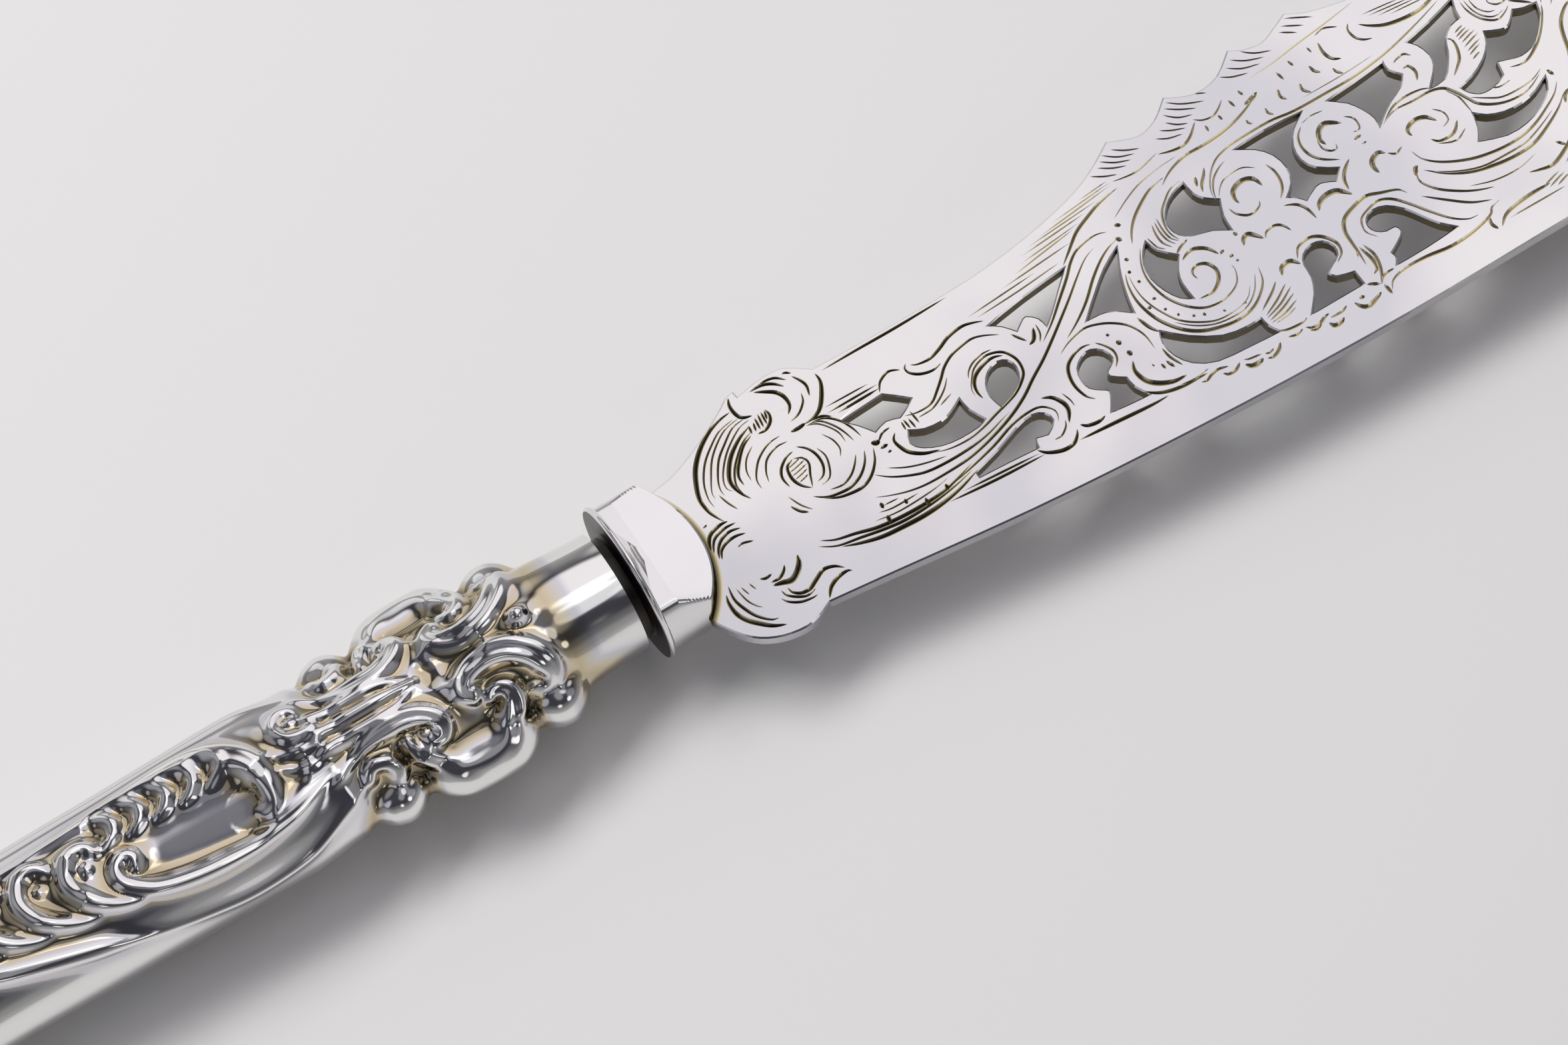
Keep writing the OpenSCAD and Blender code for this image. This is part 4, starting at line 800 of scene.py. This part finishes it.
def handle_half(name, look, turn, material):
    """One struck half: an elliptical section from seam to seam, raised outwards by the relief."""
    behind = np.concatenate([np.linspace(0, FERRULE_L, FERRULE_ROWS),
                             np.arange(FERRULE_L + DENSE_STEP, DENSE_L, DENSE_STEP),
                             np.arange(DENSE_L + DENSE_STEP, HANDLE_L - BUTT_L, PLAIN_STEP),
                             HANDLE_L - np.linspace(BUTT_L, 0, BUTT_ROWS)])
    rows, columns = len(behind), GIRTH_COLUMNS
    angle = np.linspace(-np.pi / 2, np.pi / 2, columns)
    high = ornament(behind, HALF_GIRTH * angle / (np.pi / 2)) * look.relief
    wide = ground(behind, STATIONS[:, 1])[:, None]
    deep = ground(behind, STATIONS[:, 2])[:, None]
    out_y, out_z = np.sin(angle) / wide, np.cos(angle) / deep
    size = np.hypot(out_y, out_z)
    y = wide * np.sin(angle) + high * out_y / size
    z = deep * np.cos(angle) + high * out_z / size
    x = np.broadcast_to((MOUTH_X - behind)[:, None], y.shape)
    points = np.column_stack([x.ravel(), y.ravel() * turn, z.ravel() * turn + SEAM_Z])
    crevice = np.clip((blurred(high, CREVICE_BLUR) - high) * CREVICE_GAIN, 0, CREVICE_MOST)
    broad = (blurred(high, HOLLOW_BLUR) - high - HOLLOW_FROM) * look.hollow_gain
    hollow = blurred(np.clip(broad, 0, HOLLOW_MOST) + crevice, STAIN_BLUR)
    band = BAND * np.clip(1 - np.abs(behind - FERRULE_L) / BAND_W, 0, 1)[:, None]
    faces = grid_faces(rows, columns, False)[:, ::-1]
    start = np.arange(rows) * columns
    end = start + columns - 1
    seam = np.stack([start[:-1], start[1:], end[1:], end[:-1]], axis=1)
    caps = [np.arange(columns)[::-1], start[-1] + np.arange(columns)]
    return new_mesh(name, points, [*faces, *seam, *caps], [material], smooth=len(faces),
                    tarnish=np.maximum(hollow, band).ravel())


def lathe(profile):
    """A profile of x and radius, its x falling, carried round the handle's axis and closed at both ends."""
    x, r = np.asarray(profile, float).T
    angle = np.linspace(0, 2 * np.pi, TURNED_COLUMNS, endpoint=False)
    across, up = r[:, None] * np.sin(angle), SEAM_Z + r[:, None] * np.cos(angle)
    points = np.stack([np.broadcast_to(x[:, None], up.shape), across, up], axis=2).reshape(-1, 3)
    ring = np.arange(TURNED_COLUMNS)
    ends = [ring[::-1], (len(x) - 1) * TURNED_COLUMNS + ring]
    return points, grid_faces(len(x), TURNED_COLUMNS, True)[:, ::-1], ends


def turned_profile():
    """The bolster's turned part from the cove over the flange's rounded rim to the end of the neck."""
    bend, rim, root = [np.radians(np.linspace(*turn)) for turn in (COVE_BEND, RIM_BEND, FILLET_BEND)]
    bottom, top = CAP_H / 2 - COVE_SINK, FLANGE_R - RIM_SINK
    cove = np.column_stack([FLANGE_X + COVE_L * (1 - np.cos(bend)), top - (top - bottom) * np.sin(bend)])
    edge = FLANGE_T / 2
    rim = np.column_stack([FLANGE_X - edge + edge * np.sin(rim), FLANGE_R - edge + edge * np.cos(rim)])
    fillet = np.column_stack([FLANGE_X - FLANGE_T - FILLET_R * np.sin(root),
                              NECK_R + FILLET_R * (1 - np.sin(root))])
    end = MOUTH_X - NECK_L
    return np.vstack([[[-CAP_L, AXIS_R]], cove, rim, fillet, [[end, NECK_R], [end, AXIS_R]]])


def cap_points():
    """The cap: a round block cut by two level flats, then by two sloping ones up to its curved front."""
    s = np.linspace(0, 2, CAP_ROWS)[:, None]
    angle = np.linspace(0, 2 * np.pi, CAP_COLUMNS, endpoint=False)[None, :]
    y = CAP_R * np.sin(angle)
    for _ in range(CAP_ROUNDS):
        front = np.sqrt(FRONT_R ** 2 - y ** 2) - FRONT_R
        x = np.where(s < 1, FLANGE_X + s * COVE_L, -CAP_L + (s - 1) * (front + CAP_L))
        flat = CAP_H / 2 + (NOSE_H - CAP_H) / 2 * np.clip(x / CAP_L + 1, 0, 1)
        flat = flat - NOSE_DROP * (1 - np.sqrt(1 - np.clip((s - NOSE_FROM) / NOSE_RUN, 0, 1) ** 2))
        reach = (CAP_R ** -CAP_POWER + (np.abs(np.cos(angle)) / flat) ** CAP_POWER) ** (-1 / CAP_POWER)
        y = reach * np.sin(angle)
    return np.stack([x, y, SEAM_Z + reach * np.cos(angle)], axis=2).reshape(-1, 3)


def bolster_piece(materials):
    """The cast bolster: a turned body, and a cap whose nose is closed by strips and two tips."""
    body, body_faces, body_ends = lathe(turned_profile())
    cap, cap_faces = cap_points(), grid_faces(CAP_ROWS, CAP_COLUMNS, True)
    half, side = CAP_COLUMNS // 2, CAP_COLUMNS // 4
    k = np.arange(1 - side, side - 1)
    strips = np.column_stack([half - k, half - k - 1, (k + 1) % CAP_COLUMNS, k % CAP_COLUMNS])
    tips = np.array([[side + 1, side, side - 1],
                     [half + side - 1, CAP_COLUMNS - side + 1, CAP_COLUMNS - side]])
    nose = [ring + (CAP_ROWS - 1) * CAP_COLUMNS for ring in (*strips, *tips)]
    closing = [ring + len(body) for ring in (*nose, np.arange(CAP_COLUMNS))]
    faces = [*body_faces, *(cap_faces + len(body)), *closing, *body_ends]
    # The neck's faces take the second material, whose nearly black colour is painted shade in the narrow gap
    # behind the flange.
    neck = body[body_faces].max(1)[:, 0] < FLANGE_X - FLANGE_T + NECK_LAP
    slots = np.zeros(len(faces), int)
    slots[:len(neck)] = neck
    return new_mesh("polished_bolster", np.vstack([body, cap]), faces, materials,
                    smooth=len(body_faces) + len(cap_faces), slots=slots)


def feed(tree, node, sockets):
    """Gives each named socket of a node its value, or a link where the value is another node's output."""
    for name, value in sockets.items():
        if isinstance(value, bpy.types.NodeSocket):
            tree.links.new(value, node.inputs[name])
        else:
            node.inputs[name].default_value = value


def add(tree, kind, output, sockets, **settings):
    """Adds a node with its settings, feeds its sockets and returns the named output."""
    node = tree.nodes.new(kind)
    for name, value in settings.items():
        setattr(node, name, value)
    feed(tree, node, sockets)
    return node.outputs[output]


def maths(tree, operation, *values):
    """A number worked out from others, kept between 0 and 1."""
    return add(tree, "ShaderNodeMath", "Value", dict(enumerate(values)), operation=operation, use_clamp=True)


def vectors(tree, operation, output, sockets):
    """One operation on vectors, and the output that it gives."""
    return add(tree, "ShaderNodeVectorMath", output, sockets, operation=operation)


def noise(tree, place, scale, detail):
    """Soft noise between 0 and 1."""
    return add(tree, "ShaderNodeTexNoise", "Fac", {"Vector": place, "Scale": scale, "Detail": detail})


def soft_step(tree, value, low, high, most):
    """A number that rises smoothly from 0 to the most while its value goes from low to high."""
    sockets = {"Value": value, "From Min": low, "From Max": high, "To Max": most}
    return add(tree, "ShaderNodeMapRange", "Result", sockets, interpolation_type="SMOOTHSTEP")


def ramp(tree, factor, stops, interpolation="LINEAR"):
    """A colour looked up between stops, each a position and its colour."""
    node = tree.nodes.new("ShaderNodeValToRGB")
    node.color_ramp.interpolation = interpolation
    elements = node.color_ramp.elements
    for element, (position, colour) in zip(elements, (stops[0], stops[-1])):
        element.position = position
        element.color = (*colour, 1)
    for position, colour in stops[1:-1]:
        elements.new(position).color = (*colour, 1)
    feed(tree, node, {"Fac": factor})
    return node.outputs["Color"]


def new_material(name):
    """A material, its node tree and its surface shader."""
    material = bpy.data.materials.new(name)
    material.use_nodes = True
    return material, material.node_tree, material.node_tree.nodes["Principled BSDF"]


def shaded(share, tint, colour):
    """A share of a tint, nowhere lighter than a colour."""
    return [min(share * t, c) for t, c in zip(tint, colour)]


def plated(name, colour, tarnish, roughness, scratch, faint=None, ripple=0, painted_reflection=0):
    """Silver, tarnished where marked or faintly all over, with a cloudy gloss, lengthwise wear and broad
    painted reflection patches.
    """
    material, tree, shader = new_material(name)
    place = add(tree, "ShaderNodeTexCoord", "Object", {})
    clouds = noise(tree, place, *CLOUDS)
    if faint is None:
        mark = add(tree, "ShaderNodeAttribute", "Fac", {}, attribute_name="tarnish")
        patch = maths(tree, "MULTIPLY_ADD", maths(tree, "MULTIPLY", clouds, mark), SPECKLE, mark)
        # Broad lilac-grey patches that pull the colour toward the haze colour: painted reflection, standing
        # in for the plate's uneven reflections.
        reflection_patch = soft_step(tree, noise(tree, place, *REFLECTION_PATCHES), *REFLECTION_PATCH_EDGE, painted_reflection)
        amount = maths(tree, "MAXIMUM", patch, reflection_patch)
    else:
        amount = maths(tree, "MULTIPLY", clouds, faint)
    stops = [(0.0, colour), (HAZE_AND_REFLECTION_AT, shaded(1, HAZE_AND_REFLECTION, colour))]
    stops += [(position, shaded(share, tarnish, colour)) for position, share in TARNISH_STOPS]
    gloss = {"Value": clouds, "To Min": roughness * (1 - GLOSS_SPREAD),
             "To Max": roughness * (1 + GLOSS_SPREAD)}
    lengthwise = add(tree, "ShaderNodeMapping", "Vector", {"Vector": place, "Scale": WEAR_STRETCH})
    wear = {"Height": noise(tree, lengthwise, *WEAR), "Strength": scratch, "Distance": WEAR_DEPTH}
    if ripple:
        waves = {"Height": noise(tree, place, *WAVES), "Distance": ripple}
        wear["Normal"] = add(tree, "ShaderNodeBump", "Normal", waves)
    feed(tree, shader, {
        "Metallic": 1,
        "Base Color": ramp(tree, amount, stops),
        "Roughness": add(tree, "ShaderNodeMapRange", "Result", gloss),
        "Normal": add(tree, "ShaderNodeBump", "Normal", wear),
    })
    return material


def filling(name, colour):
    """Dull dark resin with a mottled colour."""
    material, tree, shader = new_material(name)
    place = add(tree, "ShaderNodeTexCoord", "Object", {})
    mottle = add(tree, "ShaderNodeTexNoise", "Fac", {"Vector": place, "Scale": MOTTLE_SCALE})
    tint = ramp(tree, mottle, [(0.0, [MOTTLE_DARK * c for c in colour]), (1.0, colour)])
    feed(tree, shader, {"Base Color": tint, "Roughness": RESIN_ROUGHNESS})
    return material


def direction(azimuth, elevation):
    """Unit vector toward a side and a height in degrees."""
    a, e = np.radians([azimuth, elevation])
    return Vector((np.cos(a) * np.cos(e), np.sin(a) * np.cos(e), np.sin(e)))


def studio_sky():
    """A sky of bands by height with soft round panels added to it."""
    world = bpy.data.worlds.new("studio")
    bpy.context.scene.world = world
    world.use_nodes = True
    tree = world.node_tree
    place = add(tree, "ShaderNodeTexCoord", "Generated", {})
    height = add(tree, "ShaderNodeSeparateXYZ", "Z", {"Vector": place})
    total = ramp(tree, height, SKY_BANDS, "EASE")
    for azimuth, elevation, inner, outer, colour in SKY_PANELS:
        aim = vectors(tree, "DOT_PRODUCT", "Value", {0: place, 1: direction(azimuth, elevation)})
        fade = soft_step(tree, aim, *np.cos(np.radians([outer, inner])), 1)
        panel = vectors(tree, "SCALE", "Vector", {0: colour, "Scale": fade})
        total = vectors(tree, "ADD", "Vector", {0: total, 1: panel})
    feed(tree, tree.nodes["Background"], {"Color": total})


def looking(position, target, roll):
    """Placement of a lamp or camera that looks from a position at a target, rolled about its view."""
    turn = (target - position).to_track_quat("-Z", "Y").to_matrix().to_4x4()
    return Matrix.Translation(position) @ turn @ Matrix.Rotation(roll, 4, "Z")


def number_property(name, description, default):
    """A property that holds a plain number or an angle in degrees."""
    return bpy.props.FloatProperty(name=name, description=description, default=default)


def size_property(name, description, default):
    """A property that holds a length."""
    return bpy.props.FloatProperty(name=name, description=description, default=default,
                                   unit="LENGTH", precision=5)


def triple_property(name, description, default, subtype="COLOR"):
    """A property that holds a colour, or three other numbers."""
    return bpy.props.FloatVectorProperty(name=name, description=description, default=default, subtype=subtype)


class BladeFinish(bpy.types.PropertyGroup):
    """Sizes and colours of the engraved blade."""
    cut_depth: size_property("Deepest cut", "Depth of the widest engraved cuts", 0.22 * MM)
    cut_slope: number_property("Cut slope", "Slope of a cut's banks", 0.8)
    cut_gain: number_property("Cut width", "How much wider the cuts are than the strokes drawn", 1.05)
    rim_width: size_property("Rim width", "Width of the softened edge round blade and openings", 0.18 * MM)
    rim_drop: size_property("Rim drop", "Height of the softened edge", 0.14 * MM)
    junction_rings: triple_property(
        "Junction", "Distances in front of the bolster over which the tarnish fades, in millimetres",
        (0.2, 0.45, 0.8), "NONE")
    ripple: size_property("Ripple", "Height of the hammered plate's slow waves", 0.8 * MM)
    # The broad lilac-grey patches that this sets are painted reflection.
    painted_reflection: number_property("Haze", "Strength of the grey haze in broad patches", 0.05)
    silver: triple_property("Silver", "Colour of the clean blade", (0.86, 0.85, 0.84))
    tarnish: triple_property("Tarnish", "Colour of the tarnish in the cuts", (0.38, 0.33, 0.19))
    wall: triple_property("Opening walls", "Colour of the sawn walls of the openings", (0.24, 0.2, 0.12))


class HandleFinish(bpy.types.PropertyGroup):
    """Sizes and colours of the struck handle and the bolster."""
    relief: number_property("Relief", "Share of the full height of the struck ornament", 1.0)
    hollow_gain: number_property("Hollow tarnish", "Tarnish in the hollows for each millimetre of depth", 0.4)
    silver: triple_property("Silver", "Colour of the clean handle", (0.86, 0.85, 0.84))
    tarnish: triple_property("Tarnish", "Colour of the tarnish in the hollows", (0.36, 0.31, 0.22))
    # The neck's nearly black colour is painted shade in the narrow gap between the flange and the handle's
    # mouth, over a faint tarnish.
    neck: triple_property("Neck", "Colour of the darkened neck behind the flange", (0.05, 0.045, 0.04))
    resin: triple_property("Filling", "Colour of the resin inside", (0.05, 0.03, 0.02))


class StageLook(bpy.types.PropertyGroup):
    """Camera, floor and lamp."""
    distance: size_property("Camera distance", "From the camera to the point it looks at", 0.5861)
    azimuth: number_property("Azimuth", "Side that the camera stands on, in degrees from +X", -112.5)
    elevation: number_property("Elevation", "Height of the camera over the table, in degrees", 65.0)
    roll: number_property("Roll", "Turn of the picture, in degrees", -10.0)
    lens: number_property("Lens", "Focal length in millimetres on a 36 mm wide sensor", 130.05)
    target: triple_property("Target", "Point the camera looks at", (0.00827, -0.00335, 0.0), "TRANSLATION")
    floor: triple_property("Floor", "Colour of the floor", (0.8, 0.79, 0.78))
    lamp: number_property("Softbox", "Power of the softbox, in watts", 5.8)


class KNIFE_OT_blade(bpy.types.Operator):
    """Engraves the blade and softens its edges"""
    bl_idname = "knife.blade"
    bl_label = "Engraved blade"

    def execute(self, context):
        look = context.scene.knife_blade
        face = plated("blade_silver", look.silver, look.tarnish, roughness=0.2, scratch=0.25,
                      ripple=look.ripple, painted_reflection=look.painted_reflection)
        sawn = plated("sawn_silver", look.wall, look.tarnish, roughness=0.35, scratch=0.4, faint=0.2)
        piece = blade_piece(look, [face, sawn])
        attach(piece, "root")
        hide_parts("blade")
        return {"FINISHED"}


class KNIFE_OT_bolster(bpy.types.Operator):
    """Polishes the bolster's flange and cap"""
    bl_idname = "knife.bolster"
    bl_label = "Polished bolster"

    def execute(self, context):
        look = context.scene.knife_handle
        cast = plated("bolster_silver", look.silver, look.tarnish, roughness=0.1, scratch=0.1, faint=0.03)
        # The neck's silver is painted down to nearly black: painted shade in the gap behind the flange.
        neck = plated("neck_painted_shade", look.neck, look.tarnish, roughness=0.35, scratch=0.3, faint=0.2)
        piece = bolster_piece([cast, neck])
        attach(piece, "root")
        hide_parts("bolster")
        return {"FINISHED"}


class KNIFE_OT_handle(bpy.types.Operator):
    """Strikes the two halves of the handle"""
    bl_idname = "knife.handle"
    bl_label = "Struck handle"

    def execute(self, context):
        look = context.scene.knife_handle
        silver = plated("handle_silver", look.silver, look.tarnish, roughness=0.09, scratch=0.1)
        for side, turn in (("upper", 1), ("lower", -1)):
            piece = handle_half("struck_half_" + side, look, turn, silver)
            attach(piece, "root")
            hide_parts("handle_shell_" + side)
        return {"FINISHED"}


class KNIFE_OT_filling(bpy.types.Operator):
    """Gives the hidden filling its resin"""
    bl_idname = "knife.filling"
    bl_label = "Handle filling"

    def execute(self, context):
        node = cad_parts["handle_filler"]
        node.data.materials.clear()
        node.data.materials.append(filling("resin", context.scene.knife_handle.resin))
        return {"FINISHED"}


class KNIFE_OT_stage(bpy.types.Operator):
    """Sets the floor, the lamp and the camera"""
    bl_idname = "knife.stage"
    bl_label = "Stage"

    def execute(self, context):
        look = context.scene.knife_stage
        scene = context.scene
        scene.view_settings.view_transform = "Standard"
        paper, tree, shader = new_material("floor_paper")
        feed(tree, shader, {"Base Color": (*look.floor, 1), "Roughness": FLOOR_ROUGHNESS})
        half, low = FLOOR_HALF / MM, CAD_BOX[0][2] / MM
        corners = np.array([[-half, -half, low], [half, -half, low], [half, half, low], [-half, half, low]])
        floor = new_mesh("floor", corners, [np.arange(4)], [paper])
        studio_sky()
        lamp = bpy.data.lights.new("softbox", "AREA")
        lamp.shape = "RECTANGLE"
        lamp.size, lamp.size_y = SOFTBOX_SIDES
        lamp.energy = look.lamp
        box = bpy.data.objects.new("softbox", lamp)
        box.matrix_world = looking(SOFTBOX_AWAY * direction(*SOFTBOX_FROM), Vector((0, 0, 0)), 0)
        box.visible_glossy = False
        scene.collection.objects.link(box)
        camera = bpy.data.cameras.new("camera")
        camera.lens = look.lens
        camera.sensor_width = SENSOR_MM
        camera.clip_start = NEAR_CLIP
        eye = bpy.data.objects.new("camera", camera)
        target = Vector(look.target)
        place = target + look.distance * direction(look.azimuth, look.elevation)
        eye.matrix_world = looking(place, target, np.radians(look.roll))
        scene.collection.objects.link(eye)
        scene.camera = eye
        return {"FINISHED"}


class KNIFE_PT_panel(bpy.types.Panel):
    """Lists the knife's pieces in the sidebar"""
    bl_idname = "KNIFE_PT_panel"
    bl_label = "Fish knife"
    bl_space_type = "VIEW_3D"
    bl_region_type = "UI"
    bl_category = "Fish knife"

    def draw(self, context):
        for operator in OPERATORS:
            self.layout.operator(operator.bl_idname)
        for group in (context.scene.knife_blade, context.scene.knife_handle, context.scene.knife_stage):
            box = self.layout.box()
            for name in group.__annotations__:
                box.prop(group, name)


OPERATORS = (KNIFE_OT_blade, KNIFE_OT_bolster, KNIFE_OT_handle, KNIFE_OT_filling, KNIFE_OT_stage)
GROUPS = {"knife_blade": BladeFinish, "knife_handle": HandleFinish, "knife_stage": StageLook}


def register():
    """Registers the classes and gives the scene their settings."""
    for cls in (*GROUPS.values(), *OPERATORS, KNIFE_PT_panel):
        bpy.utils.register_class(cls)
    for name, cls in GROUPS.items():
        setattr(bpy.types.Scene, name, bpy.props.PointerProperty(type=cls))


def unregister():
    """Takes the settings and the classes away again."""
    for name in GROUPS:
        delattr(bpy.types.Scene, name)
    for cls in (KNIFE_PT_panel, *reversed(OPERATORS), *GROUPS.values()):
        bpy.utils.unregister_class(cls)


def main():
    """Builds every piece."""
    register()
    bpy.ops.knife.blade()
    bpy.ops.knife.bolster()
    bpy.ops.knife.handle()
    bpy.ops.knife.filling()
    bpy.ops.knife.stage()
    bpy.context.view_layer.update()


if __name__ == "__main__":
    main()
